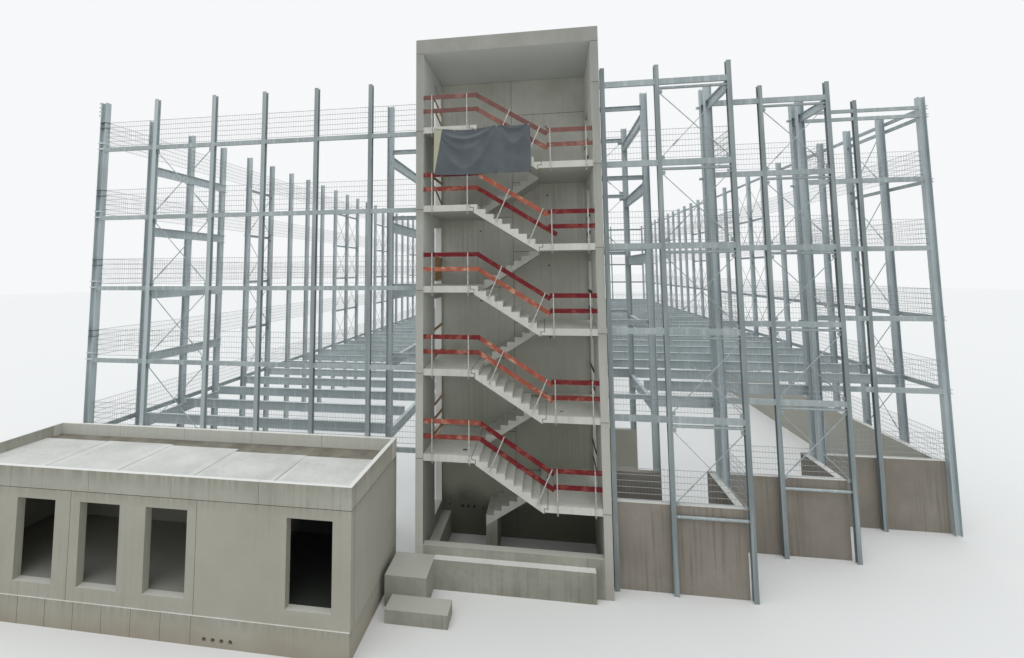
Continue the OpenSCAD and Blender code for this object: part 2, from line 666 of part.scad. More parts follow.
// Bands of guard wires on the inner faces of the posts
module wire_band_x(x1, x2, y, z) for (i = [0:wires - 1])
  translate([x1, y, z + wire_low + i * wire_gap]) cube([x2 - x1, wire_t, wire_t]);
module wire_band_y(x, y1, y2, z) for (i = [0:wires - 1])
  translate([x, y1, z + wire_low + i * wire_gap]) cube([wire_t, y2 - y1, wire_t]);
module left_side_wires() color(steel) for (k = [1:5])
  wire_band_y(-left_row_x + col_w / 2, left_y(0), left_y(bays), zl(k));
module right_side_wires() color(steel) for (k = [1:5])
  wire_band_y(right_row_x - col_w / 2 - wire_t, right_y(2), right_y(bays), zr(k));
module left_front_wires() color(steel) for (k = [1:5])
  wire_band_x(-left_row_x + col_w / 2 + wire_t, -half_w, front_y + post_d / 2, zl(k));
module right_front_wires() color(steel) for (k = [1:5]) {
  y = [for (g = right_groups) g[1] + post_d / 2];
  x1 = step_x1 + col_w / 2; x2 = step_x2 + col_w / 2;
  wire_band_x(half_w, x1 + wire_t, y[0], zr(k));
  wire_band_y(x1, y[0] + wire_t + wire_end, y[1] - wire_end, zr(k));
  wire_band_x(x1, x2 + wire_t, y[1], zr(k));
  wire_band_y(x2, y[1] + wire_t + wire_end, y[2] - wire_end, zr(k));
  wire_band_x(x2, right_row_x - col_w / 2 - wire_t, y[2], zr(k));
}
module rear_wires() color(steel) for (k = [1:5]) {
  y = inset - post_d / 2 - wire_t;
  wire_band_x(-left_row_x + col_w / 2 + wire_t, left_x(6) + post_w / 2, left_y(bays) + y, zl(k));
  wire_band_x(right_x(6) - post_w / 2, right_row_x - col_w / 2 - wire_t, right_y(bays) + y, zr(k));
}

// Concrete plinth walls under the right half, on the inner side of its posts
module plinth_walls() color(concrete) {
  z = zr(1);
  t = plinth_t;
  xs = [half_w, step_x1 - col_w / 2 - t, step_x2 - col_w / 2 - t, right_row_x - col_w / 2 - t];
  ys = [front_y + post_d / 2, right_y(1) + col_w / 2, right_y(2) + col_w / 2];
  for (i = [0:2]) translate([xs[i], ys[i], 0]) cube([xs[i + 1] + t - xs[i], t, z]);
  for (i = [1:2]) translate([xs[i], ys[i - 1] + t, 0]) cube([t, ys[i] - ys[i - 1] - t, z]);
  end = right_y(bays) + inset - post_d / 2;
  translate([xs[3], ys[2] + t, 0]) cube([t, end - ys[2] - t, z]);
  translate([0, end - t, 0]) cube([xs[3], t, z]);
  // Short walls that carry the columns of the ramp bay
  for (w = [[half_w, right_y(1)], [mid_ramp_x - col_w / 2, right_y(3)]])
    translate([w[0], w[1] - t / 2, 0]) cube([right_ramp_x + col_w / 2 - w[0], t, z]);
}

// Annexe of precast panels on a plinth, with deep windows and a door
ax2 = -half_w - annexe_gap;
ax1 = ax2 - annexe_l;
ay2 = left_y(0) - col_w / 2;
ay1 = ay2 - annexe_d;
az = z0 + annexe_wall_h;
module annexe_front_wall() color(concrete) difference() {
  union() {
    translate([ax1, ay1, 0]) cube([annexe_l, annexe_wall, az]);
    translate([ax1, ay1 - ledge, 0]) cube([annexe_l, ledge, z0 - ledge_drop]);
  }
  for (x = [door_in, window_in, window_in + window_gap, window_in + 2 * window_gap])
    translate([ax2 - x - win_w, ay1 - 5, z0 - sill])
      cube([win_w, annexe_wall + 10, win_top + sill]);
  for (i = [0:3]) translate([ax2 - pipe_in - pipe_gap * i, ay1 - ledge - 5, z0 - pipe_drop])
    rotate([-90, 0, 0]) cylinder(d = pipe_d, h = annexe_wall + ledge + 10, $fn = 24);
}
module annexe_side_walls() color(concrete) for (x = [ax1, ax2 - annexe_wall])
  translate([x, ay1 + annexe_wall, 0]) cube([annexe_wall, annexe_d - 2 * annexe_wall, az]);
module annexe_back_wall() color(concrete)
  translate([ax1, ay2 - annexe_wall, 0]) cube([annexe_l, annexe_wall, az]);
module annexe_floor() color(concrete)
  translate([ax1 + annexe_wall, ay1 + annexe_wall, z0 - sill - annexe_floor_t])
    cube([annexe_l - 2 * annexe_wall, annexe_d - 2 * annexe_wall, annexe_floor_t]);
// Roof slabs side by side; their thick part stops unevenly before the rear edge and
// leaves a shallow gutter there
module annexe_roof() color(concrete) {
  stagger = [20, 0, 55, 170, 195];
  n = 5;
  w = (annexe_l - 2 * annexe_edge_t) / n;
  d = annexe_d - 2 * annexe_edge_t;
  h = annexe_slab_t;
  for (i = [0:n - 1]) {
    step = d - gutter_w - stagger[i];
    translate([ax1 + annexe_edge_t + i * w, ay1 + annexe_edge_t, az]) rotate([90, 0, 90])
      linear_extrude(w - (i < n - 1 ? slab_gap : 0))
        polygon([[0, 0], [d, 0], [d, h - gutter_drop], [step, h - gutter_drop], [step, h], [0, h]]);
  }
}
module annexe_edge_panels() color(concrete) {
  n = 5;
  w = annexe_l / n;
  for (i = [0:n - 1], y = [ay1, ay2 - annexe_edge_t])
    translate([ax1 + i * w, y, az])
      cube([w - (i < n - 1 ? slab_gap : 0), annexe_edge_t, annexe_edge_h]);
  for (x = [ax1, ax2 - annexe_edge_t])
    translate([x, ay1 + annexe_edge_t + panel_gap, az])
      cube([annexe_edge_t, annexe_d - 2 * annexe_edge_t - 2 * panel_gap, annexe_edge_h]);
}

tower_left_wall();
tower_right_wall();
tower_back_wall();
tower_roof();
tower_base();
left_landings();
right_landings();
front_flights();
rear_flights();
guard_posts();
landing_boards();
flight_boards();
banner_sheet();
left_columns();
right_columns();
middle_columns();
ramp_columns();
left_front_posts();
right_front_posts();
rear_posts();
left_front_beams();
right_front_beams();
rear_beams();
left_edge_beams();
right_edge_beams();
left_deck_beams();
right_deck_beams();
left_header_beams();
step_beams();
ramp_beams();
left_brace_rods();
right_brace_rods();
side_brace_rods();
strut_tubes();
left_side_wires();
right_side_wires();
left_front_wires();
right_front_wires();
rear_wires();
plinth_walls();
annexe_front_wall();
annexe_side_walls();
annexe_back_wall();
annexe_floor();
annexe_roof();
annexe_edge_panels();
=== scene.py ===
# A split level car park that is being fitted out: concrete stair tower, galvanised
# skeleton, plinth walls and a flat annexe. Half real size, in metres, one fixed body.
import math
import bpy
from mathutils import Euler, Matrix


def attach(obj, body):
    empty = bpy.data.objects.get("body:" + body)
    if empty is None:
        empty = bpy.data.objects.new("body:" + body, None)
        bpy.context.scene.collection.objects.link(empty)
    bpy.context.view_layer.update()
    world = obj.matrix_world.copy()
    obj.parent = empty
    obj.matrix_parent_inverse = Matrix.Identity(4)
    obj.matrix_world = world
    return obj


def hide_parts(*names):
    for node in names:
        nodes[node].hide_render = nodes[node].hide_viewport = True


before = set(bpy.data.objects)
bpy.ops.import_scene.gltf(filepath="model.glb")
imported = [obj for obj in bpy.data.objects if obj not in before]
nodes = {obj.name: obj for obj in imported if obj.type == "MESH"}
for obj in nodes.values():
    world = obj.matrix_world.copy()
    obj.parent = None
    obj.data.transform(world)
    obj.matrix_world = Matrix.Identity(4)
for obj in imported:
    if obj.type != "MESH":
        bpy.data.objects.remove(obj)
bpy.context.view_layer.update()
bpy.ops.object.select_all(action="DESELECT")

# View and light
# The camera stands in front of the tower, above the first storey, and looks a little to
# the left. The plain floor lies at the foot of the walls under an even, overcast sky.
camera_place = (0.6455, -8.298, 5.1045)
camera_pitch, camera_turn, camera_roll = 4.862, 9.022, -0.383
bpy.ops.object.camera_add(location=camera_place)
camera = bpy.context.object
aim = Euler((math.radians(90 + camera_pitch), 0, math.radians(camera_turn))).to_matrix()
roll = Matrix.Rotation(math.radians(camera_roll), 3, "Z")
camera.rotation_euler = (aim @ roll).to_euler()
camera.data.lens = 17.27
camera.data.sensor_width = 36
camera.data.shift_x, camera.data.shift_y = 0.0433, -0.098
camera.data.clip_start, camera.data.clip_end = 0.1, 400
bpy.context.scene.camera = camera

# The floor shows pale, and throws back about as much light as trodden ground does.
bpy.ops.mesh.primitive_circle_add(vertices=64, radius=150, fill_type="NGON", location=(0, 16, 0))
floor = bpy.context.object
floor.name = "floor"
floor_paint = bpy.data.materials.new("floor_paint")
floor_paint.use_nodes = True
paint = floor_paint.node_tree
paint.nodes["Principled BSDF"].inputs["Roughness"].default_value = 0.9
floor_ray = paint.nodes.new("ShaderNodeLightPath")
floor_mix = paint.nodes.new("ShaderNodeMix")
floor_mix.data_type = "RGBA"
floor_mix.inputs[6].default_value = (0.55, 0.54, 0.51, 1)
floor_mix.inputs[7].default_value = (0.82, 0.82, 0.81, 1)
paint.links.new(floor_ray.outputs["Is Camera Ray"], floor_mix.inputs[0])
paint.links.new(floor_mix.outputs[2], paint.nodes["Principled BSDF"].inputs["Base Color"])
floor.data.materials.append(floor_paint)

world = bpy.data.worlds.new("even_sky")
bpy.context.scene.world = world
world.use_nodes = True
sky = world.node_tree
sky.nodes.clear()
ray = sky.nodes.new("ShaderNodeLightPath")
seen = sky.nodes.new("ShaderNodeMath")
seen.operation = "MAXIMUM"
sky.links.new(ray.outputs["Is Camera Ray"], seen.inputs[0])
sky.links.new(ray.outputs["Is Glossy Ray"], seen.inputs[1])
through = sky.nodes.new("ShaderNodeMath")
through.operation = "MAXIMUM"
sky.links.new(seen.outputs[0], through.inputs[0])
sky.links.new(ray.outputs["Is Transmission Ray"], through.inputs[1])
soft = sky.nodes.new("ShaderNodeBackground")
soft.inputs["Color"].default_value = (0.95, 0.98, 1, 1)
soft.inputs["Strength"].default_value = 0.86
pale = sky.nodes.new("ShaderNodeBackground")
pale.inputs["Color"].default_value = (0.93, 0.94, 0.95, 1)
pale.inputs["Strength"].default_value = 1
choose = sky.nodes.new("ShaderNodeMixShader")
sky.links.new(through.outputs[0], choose.inputs[0])
sky.links.new(soft.outputs[0], choose.inputs[1])
sky.links.new(pale.outputs[0], choose.inputs[2])
out = sky.nodes.new("ShaderNodeOutputWorld")
sky.links.new(choose.outputs[0], out.inputs["Surface"])

bpy.ops.object.light_add(type="SUN", rotation=(math.radians(12), 0, math.radians(-20)))
sky_light = bpy.context.object
sky_light.name = "sky_light"
sky_light.data.energy = 0.8
sky_light.data.angle = math.radians(60)
bpy.context.scene.view_settings.view_transform = "Standard"

# Cast concrete of the stair tower
# The tower is stacked from storey high precast panels, cast flat in steel forms. The
# faces are smooth grey with clouds, fine pores and streaks where rain ran down.


def add_node(tree, kind, inputs=None, **settings):
    """A shader node; an input is a plain value or the socket that feeds it."""
    made = tree.nodes.new("ShaderNode" + kind)
    for key, value in settings.items():
        setattr(made, key, value)
    for key, value in (inputs or {}).items():
        if isinstance(value, bpy.types.NodeSocket):
            tree.links.new(value, made.inputs[key])
        else:
            made.inputs[key].default_value = value
    return made


def new_group(name, inputs, outputs=(("Color", "Color"), ("Roughness", "Float"), ("Height", "Float"))):
    """An empty node group with its sockets, and the nodes at its two ends."""
    group = bpy.data.node_groups.new(name, "ShaderNodeTree")
    for label, kind, value in inputs:
        kind = "NodeSocket" + kind
        socket = group.interface.new_socket(label, in_out="INPUT", socket_type=kind)
        if value is not None:
            socket.default_value = value
    for label, kind in outputs:
        group.interface.new_socket(label, in_out="OUTPUT", socket_type="NodeSocket" + kind)
    return group, group.nodes.new("NodeGroupInput"), group.nodes.new("NodeGroupOutput")


def ramp(tree, fac, low, high):
    """Maps a mask from between low and high to 0 and 1."""
    return add_node(tree, "MapRange", {"Value": fac, "From Min": low, "From Max": high}).outputs[0]


def between(tree, value, low, high):
    """Maps a value from 0 and 1 to low and high."""
    return add_node(tree, "MapRange", {"Value": value, "To Min": low, "To Max": high}).outputs[0]


def blend(tree, fac, a, b):
    """Mixes two colours by a mask."""
    return add_node(tree, "Mix", {0: fac, 6: a, 7: b}, data_type="RGBA").outputs[2]


def times(tree, a, b, operation="MULTIPLY"):
    """The product of two values, or what another operation makes of them."""
    return add_node(tree, "Math", {0: a, 1: b}, operation=operation).outputs[0]


def noise(tree, vector, scale, detail, roughness=0.5):
    values = {"Vector": vector, "Scale": scale, "Detail": detail, "Roughness": roughness}
    return add_node(tree, "TexNoise", values).outputs[0]


def stretched(tree, vector, scale, detail=4):
    """Noise on coordinates that are drawn out by a scale for each axis."""
    drawn = add_node(tree, "Mapping", {"Vector": vector, "Scale": scale}).outputs[0]
    return noise(tree, drawn, 1, detail)


def give_out(tree, leave, colour, rough, height):
    """Ends a group; rough is a value with the roughness at its 0 and at its 1."""
    tree.links.new(colour, leave.inputs["Color"])
    tree.links.new(between(tree, *rough), leave.inputs["Roughness"])
    tree.links.new(height, leave.inputs["Height"])


cast, enter, leave = new_group(
    "Cast Concrete",
    [("Vector", "Vector", None), ("Light", "Color", (0.5, 0.5, 0.47, 1)),
     ("Dark", "Color", (0.4, 0.4, 0.37, 1)), ("Streak", "Color", (0.3, 0.3, 0.26, 1)),
     ("Streaks", "Float", 0.4), ("Grime", "Float", 0.0)])
vector = enter.outputs["Vector"]
fine = noise(cast, vector, 14, 6, 0.65)
cloud_mask = ramp(cast, noise(cast, vector, 1.3, 5, 0.6), 0.35, 0.65)
mixed = blend(cast, cloud_mask, enter.outputs["Light"], enter.outputs["Dark"])
fine_mask = times(cast, ramp(cast, fine, 0.35, 0.75), 0.4)
mixed = blend(cast, fine_mask, mixed, enter.outputs["Dark"])
runs = stretched(cast, vector, (19, 19, 0.7), 5)
patch = ramp(cast, noise(cast, vector, 0.7, 2), 0.38, 0.6)
run_mask = times(cast, ramp(cast, runs, 0.48, 0.72), patch)
run_mask = times(cast, run_mask, enter.outputs["Streaks"])
grime_mask = times(cast, enter.outputs["Grime"], ramp(cast, runs, 0.3, 0.6))
run_mask = times(cast, run_mask, grime_mask, "MAXIMUM")
mixed = blend(cast, run_mask, mixed, enter.outputs["Streak"])
pores = add_node(cast, "TexVoronoi", {"Vector": vector, "Scale": 38, "Randomness": 1})
pore_pick = ramp(cast, noise(cast, vector, 5, 1), 0.5, 0.56)
pore_mask = times(cast, ramp(cast, pores.outputs["Distance"], 0.16, 0.08), pore_pick)
mixed = blend(cast, times(cast, pore_mask, 0.55), mixed, enter.outputs["Streak"])
give_out(cast, leave, mixed, (fine, 0.72, 0.92), times(cast, fine, pore_mask, "SUBTRACT"))

# Below each joint the rain leaves a wash that fades within a hand or two.
wash, enter, leave = new_group(
    "Joint Wash",
    [("Place", "Float", 0.0), ("First", "Float", 0.0), ("Spacing", "Float", 1.4),
     ("Reach", "Float", 0.25)],
    [("Mask", "Float")])
below = times(wash, enter.outputs["First"], enter.outputs["Place"], "SUBTRACT")
below = times(wash, below, enter.outputs["Spacing"], "DIVIDE")
below = add_node(wash, "Math", {0: below}, operation="FRACT").outputs[0]
below = times(wash, below, enter.outputs["Spacing"])
fade = times(wash, below, enter.outputs["Reach"], "DIVIDE")
wash.links.new(ramp(wash, fade, 1.0, 0.0), leave.inputs["Mask"])


def new_material(name, metallic=0.0, specular=0.5):
    """A material, its node tree, its Principled shader and the Object coordinates."""
    made = bpy.data.materials.new(name)
    made.use_nodes = True
    shader = made.node_tree.nodes["Principled BSDF"]
    shader.inputs["Metallic"].default_value = metallic
    shader.inputs["Specular IOR Level"].default_value = specular
    coords = made.node_tree.nodes.new("ShaderNodeTexCoord")
    return made, made.node_tree, shader, coords.outputs["Object"]


def surface(tree, shader, group, inputs, bump, distance=0.004):
    """Puts a group into a material, with its colour, roughness and relief on the shader."""
    made = add_node(tree, "Group", inputs, node_tree=group)
    height = made.outputs["Height"]
    relief = add_node(tree, "Bump", {"Height": height, "Strength": bump, "Distance": distance})
    tree.links.new(made.outputs["Color"], shader.inputs["Base Color"])
    tree.links.new(made.outputs["Roughness"], shader.inputs["Roughness"])
    tree.links.new(relief.outputs[0], shader.inputs["Normal"])
    return made


def split_up(tree, vector):
    """The x, y and z of a vector."""
    return add_node(tree, "SeparateXYZ", {"Vector": vector}).outputs


def concrete(name, light, dark, streak, streaks=0.4, bump=0.25, joints=None):
    """A cast concrete; joints are the first joint, their spacing and the wash's reach."""
    made, tree, shader, coords = new_material(name, specular=0.3)
    inputs = {"Vector": coords, "Light": (*light, 1), "Dark": (*dark, 1),
              "Streak": (*streak, 1), "Streaks": streaks}
    if joints:
        values = dict(zip(("First", "Spacing", "Reach"), joints), Place=split_up(tree, coords)[2])
        washed = add_node(tree, "Group", values, node_tree=wash)
        inputs["Grime"] = times(tree, washed.outputs["Mask"], 0.7)
    surface(tree, shader, cast, inputs, bump)
    return made


def tone_over(tree, mask, most, colour):
    """Mixes a colour into a material's own, where the mask is 1 by the share most."""
    target = tree.nodes["Principled BSDF"].inputs["Base Color"]
    if not isinstance(colour, bpy.types.NodeSocket):
        colour = (*colour, 1)
    own = target.links[0].from_socket
    tree.links.new(blend(tree, times(tree, mask, most), own, colour), target)


def place_in(tree):
    """The Object coordinates of a material."""
    return tree.nodes.new("ShaderNodeTexCoord").outputs["Object"]


def facing(tree):
    """The x, y and z of the normal."""
    return split_up(tree, tree.nodes.new("ShaderNodeNewGeometry").outputs["Normal"])


def by_height(material, full, none, colour, most):
    """Mixes in a colour at the height full, which fades out towards the height none."""
    tree = material.node_tree
    coords = place_in(tree)
    edge = times(tree, noise(tree, coords, 1.1, 3), split_up(tree, coords)[2], "ADD")
    tone_over(tree, ramp(tree, edge, none, full), most, colour)


def dress(name, material):
    """Gives a CAD node its material, in place of the ones it had."""
    node = nodes[name]
    node.data.materials.clear()
    node.data.materials.append(material)


storey = 1.4
entrance = 0.64
joint_drop = 0.07
left_level = [entrance + storey * k for k in range(6)]
right_level = [entrance + storey * (k - 0.5) for k in range(7)]
panel_light, panel_dark, panel_streak = (0.48, 0.48, 0.445), (0.40, 0.40, 0.365), (0.27, 0.27, 0.235)
left_joint, right_joint = left_level[1] - joint_drop, right_level[1] - joint_drop
left_panel = concrete("left_panel", panel_light, panel_dark, panel_streak, 0.5,
                      joints=(left_joint, storey, 0.3))
right_panel = concrete("right_panel", panel_light, panel_dark, panel_streak, 0.5,
                       joints=(right_joint, storey, 0.3))
roof_panel = concrete("roof_panel", (0.415, 0.41, 0.375), (0.34, 0.34, 0.31), panel_streak, 0.35)
back_panel = concrete("back_panel", (0.65, 0.645, 0.595), (0.52, 0.52, 0.465),
                      (0.34, 0.345, 0.28), 0.5)
# The back wall is painted darker and yellower towards the bottom, painted shade of the deep shaft, and
# nearly black at its foot, painted shade of the pit.
by_height(back_panel, 0.9, 5.0, (0.25, 0.255, 0.185), 0.85)
by_height(back_panel, 1.1, 1.45, (0.08, 0.08, 0.06), 0.7)


def by_normal(material, low, high, colour, most):
    """Mixes in a colour where the upward part of the normal goes from low to high."""
    tree = material.node_tree
    tone_over(tree, ramp(tree, facing(tree)[2], low, high), most, colour)


def by_reach(material, half, colour, most, foot_shade):
    """Mixes in a colour between the inner faces of the side walls, turning to the foot colour towards the
    foot: painted light higher up, painted shade below.
    """
    tree = material.node_tree
    x, _, z = split_up(tree, place_in(tree))
    across = add_node(tree, "Math", {0: x}, operation="ABSOLUTE").outputs[0]
    inner = blend(tree, ramp(tree, z, 5.6, 1.2), (*colour, 1), (*foot_shade, 1))
    tone_over(tree, times(tree, across, half, "LESS_THAN"), most, inner)


def by_reveal(material, depth, colour, most):
    """Mixes in a colour on faces that look to the front and lie behind a depth, as painted daylight on the
    far reveals of the doorways.
    """
    tree = material.node_tree
    behind = times(tree, split_up(tree, place_in(tree))[1], depth, "GREATER_THAN")
    to_front = times(tree, facing(tree)[1], -0.7, "LESS_THAN")
    tone_over(tree, times(tree, behind, to_front), most, colour)


# The walls are darker towards the top and paler lower down, the right wall darker again at its foot.
for panel in (left_panel, right_panel):
    by_height(panel, 9.2, 5.8, (0.31, 0.315, 0.295), 0.6)
    by_height(panel, 2.4, 5.0, (0.62, 0.61, 0.55), 0.5)
by_height(right_panel, 0.9, 1.7, (0.36, 0.345, 0.30), 0.7)
# Between the side walls the faces are painted paler, partly as cleaner, drier concrete out of the rain and
# partly as painted light, and darker towards the foot as painted shade of the deep shaft.
by_reach(left_panel, 1.4577, (0.72, 0.74, 0.70), 0.75, (0.17, 0.165, 0.145))
by_reach(right_panel, 1.4577, (0.70, 0.71, 0.66), 0.75, (0.40, 0.40, 0.36))
# The far reveals of the doorways are painted pale: painted daylight falling in through the openings.
by_reveal(left_panel, 0.5, (0.92, 0.92, 0.89), 0.85)
by_reveal(right_panel, 0.5, (0.75, 0.75, 0.71), 0.5)
# The underside of the roof is painted paler: painted light, partly cleaner concrete out of the rain.
by_normal(roof_panel, -0.5, -0.8, (0.70, 0.725, 0.71), 0.8)
dress("tower_left_wall", left_panel)
dress("tower_right_wall", right_panel)
dress("tower_back_wall", back_panel)
dress("tower_roof", roof_panel)

# Mortar joints of the tower
# Each panel is set down on a bed of dark mortar. It shows as a thin line across the
# front edge, in the groove between the chamfers and up the middle of the back wall.
tower_half, wall_t, tower_in, tower_out = 1.5875, 0.130, 1.585, 1.710
inner_x = tower_half - wall_t
ceiling = 8.99
bed_h, proud, groove = 0.009, 0.0006, 0.003


def solid(x1, x2, y1, y2, z1, z2, ease=0.0):
    """A plate or bar between two corners, its edges eased, with its place in its mesh."""
    bpy.ops.object.select_all(action="DESELECT")
    bpy.ops.mesh.primitive_cube_add(size=1, location=((x1 + x2) / 2, (y1 + y2) / 2, (z1 + z2) / 2),
                                    scale=(x2 - x1, y2 - y1, z2 - z1))
    made = bpy.context.object
    bpy.ops.object.transform_apply(location=True, rotation=True, scale=True)
    if ease:
        soften(made, ease)
    return made


def worked(piece, name, kind, **settings):
    """Gives a piece a modifier with its settings and applies it."""
    made = piece.modifiers.new(name, kind)
    for key, value in settings.items():
        setattr(made, key, value)
    bpy.context.view_layer.objects.active = piece
    bpy.ops.object.modifier_apply(modifier=name)


def soften(piece, width):
    """Bevels the edges of a piece."""
    worked(piece, "edge", "BEVEL", width=width, segments=1)


def pick_faces(piece, pick):
    """Opens a piece for edits with the faces selected that pick takes by middle and normal."""
    bpy.ops.object.select_all(action="DESELECT")
    piece.select_set(True)
    bpy.context.view_layer.objects.active = piece
    bpy.ops.object.mode_set(mode="EDIT")
    bpy.ops.mesh.select_mode(type="FACE")
    bpy.ops.mesh.select_all(action="DESELECT")
    bpy.ops.object.mode_set(mode="OBJECT")
    for face in piece.data.polygons:
        face.select = pick(face.center, face.normal)
    bpy.ops.object.mode_set(mode="EDIT")


def pull(piece, pick, shift):
    """Extrudes the faces that pick chooses along shift."""
    pick_faces(piece, pick)
    bpy.ops.mesh.extrude_region_move(TRANSFORM_OT_translate={"value": shift})
    bpy.ops.object.mode_set(mode="OBJECT")


def turn(piece, degrees, axis="X"):
    """Turns the mesh of a piece about the origin."""
    piece.data.transform(Matrix.Rotation(math.radians(degrees), 4, axis))


def turned(radius, y1, y2, sides=12, x=0.0, z=0.0):
    """A round bar along Y, from y1 to y2."""
    bpy.ops.object.select_all(action="DESELECT")
    bpy.ops.mesh.primitive_cylinder_add(vertices=sides, radius=radius, depth=abs(y2 - y1),
                                        location=(x, (y1 + y2) / 2, z), rotation=(math.pi / 2, 0, 0))
    made = bpy.context.object
    bpy.ops.object.transform_apply(location=True, rotation=True, scale=True)
    return made


def join(pieces):
    """Joins freshly made pieces into the first."""
    bpy.ops.object.select_all(action="DESELECT")
    for piece in pieces:
        piece.select_set(True)
    bpy.context.view_layer.objects.active = pieces[0]
    bpy.ops.object.join()
    return pieces[0]


def finish(piece, name, material):
    """Names a finished piece, gives it its material and lets it ride on the building."""
    piece.name = name
    piece.data.name = name
    piece.data.materials.clear()
    piece.data.materials.append(material)
    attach(piece, "root")
    return piece


def copies_of(model, places):
    """Joined copies of a model, one at each place with its own mesh; the model goes."""
    made = []
    for place in places:
        twin = model.copy()
        twin.data = model.data.copy()
        twin.data.transform(place)
        bpy.context.collection.objects.link(twin)
        made.append(twin)
    bpy.data.objects.remove(model)
    return join(made)


def set_out(model, places, name, material):
    """Copies a modelled piece to each place and finishes the copies as one object."""
    return finish(copies_of(model, places), name, material)


def at(x, y, z, turn=0.0, axis="Z"):
    """A place: moved to x, y, z after a turn in degrees."""
    return Matrix.Translation((x, y, z)) @ Matrix.Rotation(math.radians(turn), 4, axis)


mortar = concrete("mortar", (0.10, 0.10, 0.085), (0.06, 0.06, 0.05), (0.04, 0.04, 0.035), 0.2)
left_beds = [left_level[k] - joint_drop for k in range(1, 6)] + [ceiling]
right_beds = [right_level[k] - joint_drop for k in range(1, 7)] + [ceiling]
side_bed = solid(-wall_t / 2 + groove, wall_t / 2 - groove, -proud, tower_out + proud,
                 -bed_h / 2, bed_h / 2, 0.0008)
middle_x = tower_half - wall_t / 2
bed_places = [at(-middle_x, 0, z) for z in left_beds] + [at(middle_x, 0, z) for z in right_beds]
set_out(side_bed, bed_places, "side_wall_beds", mortar)
back_bed = solid(0.001, inner_x, tower_in + groove, tower_out - groove, -bed_h / 2, bed_h / 2, 0.0008)
back_places = [at(0, 0, z) for z in right_beds[:-1]] + [at(-inner_x, 0, z) for z in left_beds[:-1]]
set_out(back_bed, back_places, "back_wall_beds", mortar)
upright = solid(-0.004, 0.004, tower_in - proud, tower_out + proud, 0, ceiling, 0.0008)
finish(upright, "back_wall_upright_joint", mortar)

# Lifting sockets and wall sleeves
# A panel keeps one round socket of its lifting anchor. Near the floor three plastic
# sleeves for supply pipes pass through the wall, with two smaller ones beside them.
# The plastic is near black: partly dark plastic, and on the sunk plugs painted shade of the open holes
# behind them.
dark_plastic_and_hole_shade, tree, shader, coords = new_material("dark_plastic_and_hole_shade")
scuffed = noise(tree, coords, 40, 4)
shade = blend(tree, scuffed, (0.02, 0.02, 0.02, 1), (0.05, 0.05, 0.048, 1))
tree.links.new(shade, shader.inputs["Base Color"])
tree.links.new(between(tree, scuffed, 0.5, 0.8), shader.inputs["Roughness"])


def sleeve(radius, wall=0.003, out=0.007, sunk=0.005):
    """A short sleeve with a raised rim and a sunk plug, its mouth towards the front."""
    made = turned(radius, -out, 0.004, 16)
    pick_faces(made, lambda c, n: n.y < -0.9)
    bpy.ops.mesh.inset(thickness=wall, depth=0)
    bpy.ops.mesh.extrude_region_move(TRANSFORM_OT_translate={"value": (0, sunk, 0)})
    bpy.ops.object.mode_set(mode="OBJECT")
    return made


socket_x, socket_drop = (-0.66, 0.697), 0.345
socket_places = [at(socket_x[0], tower_in, left_level[k] - socket_drop) for k in (2, 3, 4, 5)]
socket_places += [at(socket_x[1], tower_in, right_level[k] - socket_drop) for k in (2, 3, 4, 5, 6)]
set_out(sleeve(0.017), socket_places, "lifting_sockets", dark_plastic_and_hole_shade)
set_out(sleeve(0.030, 0.005), [at(x, tower_in, 0.525) for x in (-1.058, -0.943, -0.829)],
        "pipe_sleeves", dark_plastic_and_hole_shade)
set_out(sleeve(0.016, 0.003), [at(-1.305, tower_in, 0.547), at(-0.650, tower_in, 0.506)],
        "small_sleeves", dark_plastic_and_hole_shade)

# Stair and landings
# Landings and flights are precast too, so their edges are pale and crisp, and dust from the site lies on
# the treads; their soffits are painted darker, a painted shade. The base was cast on the spot.
stair_concrete = concrete("stair_concrete", (0.70, 0.70, 0.65), (0.58, 0.58, 0.53),
                          (0.38, 0.38, 0.33), 0.35)
for name in ("left_landings", "right_landings", "front_flights", "rear_flights"):
    dress(name, stair_concrete)
base_concrete = concrete("base_concrete", (0.42, 0.415, 0.36), (0.28, 0.28, 0.23),
                         (0.18, 0.18, 0.14), 0.7, 0.4)
dress("tower_base", base_concrete)
# Level faces of the base keep a film of cement and dust; the soffits of the stair are painted darker as
# painted shade.
by_normal(base_concrete, 0.6, 0.9, (0.56, 0.555, 0.50), 0.8)
by_normal(stair_concrete, -0.5, -0.8, (0.42, 0.43, 0.39), 0.8)

# Two landings show the lifting recess in their floor, filled with darker mortar.
fills = []
recesses = ((0.042, -0.792, 0.303, left_level[1]), (0.028, 0.851, 0.305, right_level[2]))
for radius, x, y, level in recesses:
    fill = turned(radius, 0, 0.0015, 14)
    turn(fill, 90)
    soften(fill, 0.0005)
    fill.data.transform(at(x, y, level))
    fills.append(fill)
finish(join(fills), "landing_recess_fills", mortar)

# A pale strip of mortar levels the ledge in front of the kerb.
screed = concrete("screed", (0.80, 0.80, 0.77), (0.70, 0.70, 0.66), (0.50, 0.50, 0.46), 0.3)
levelled = solid(-1.2440, 1.3150, -0.1295, -0.0005, 0.455, 0.461, 0.002)
finish(levelled, "ledge_levelling_strip", screed)

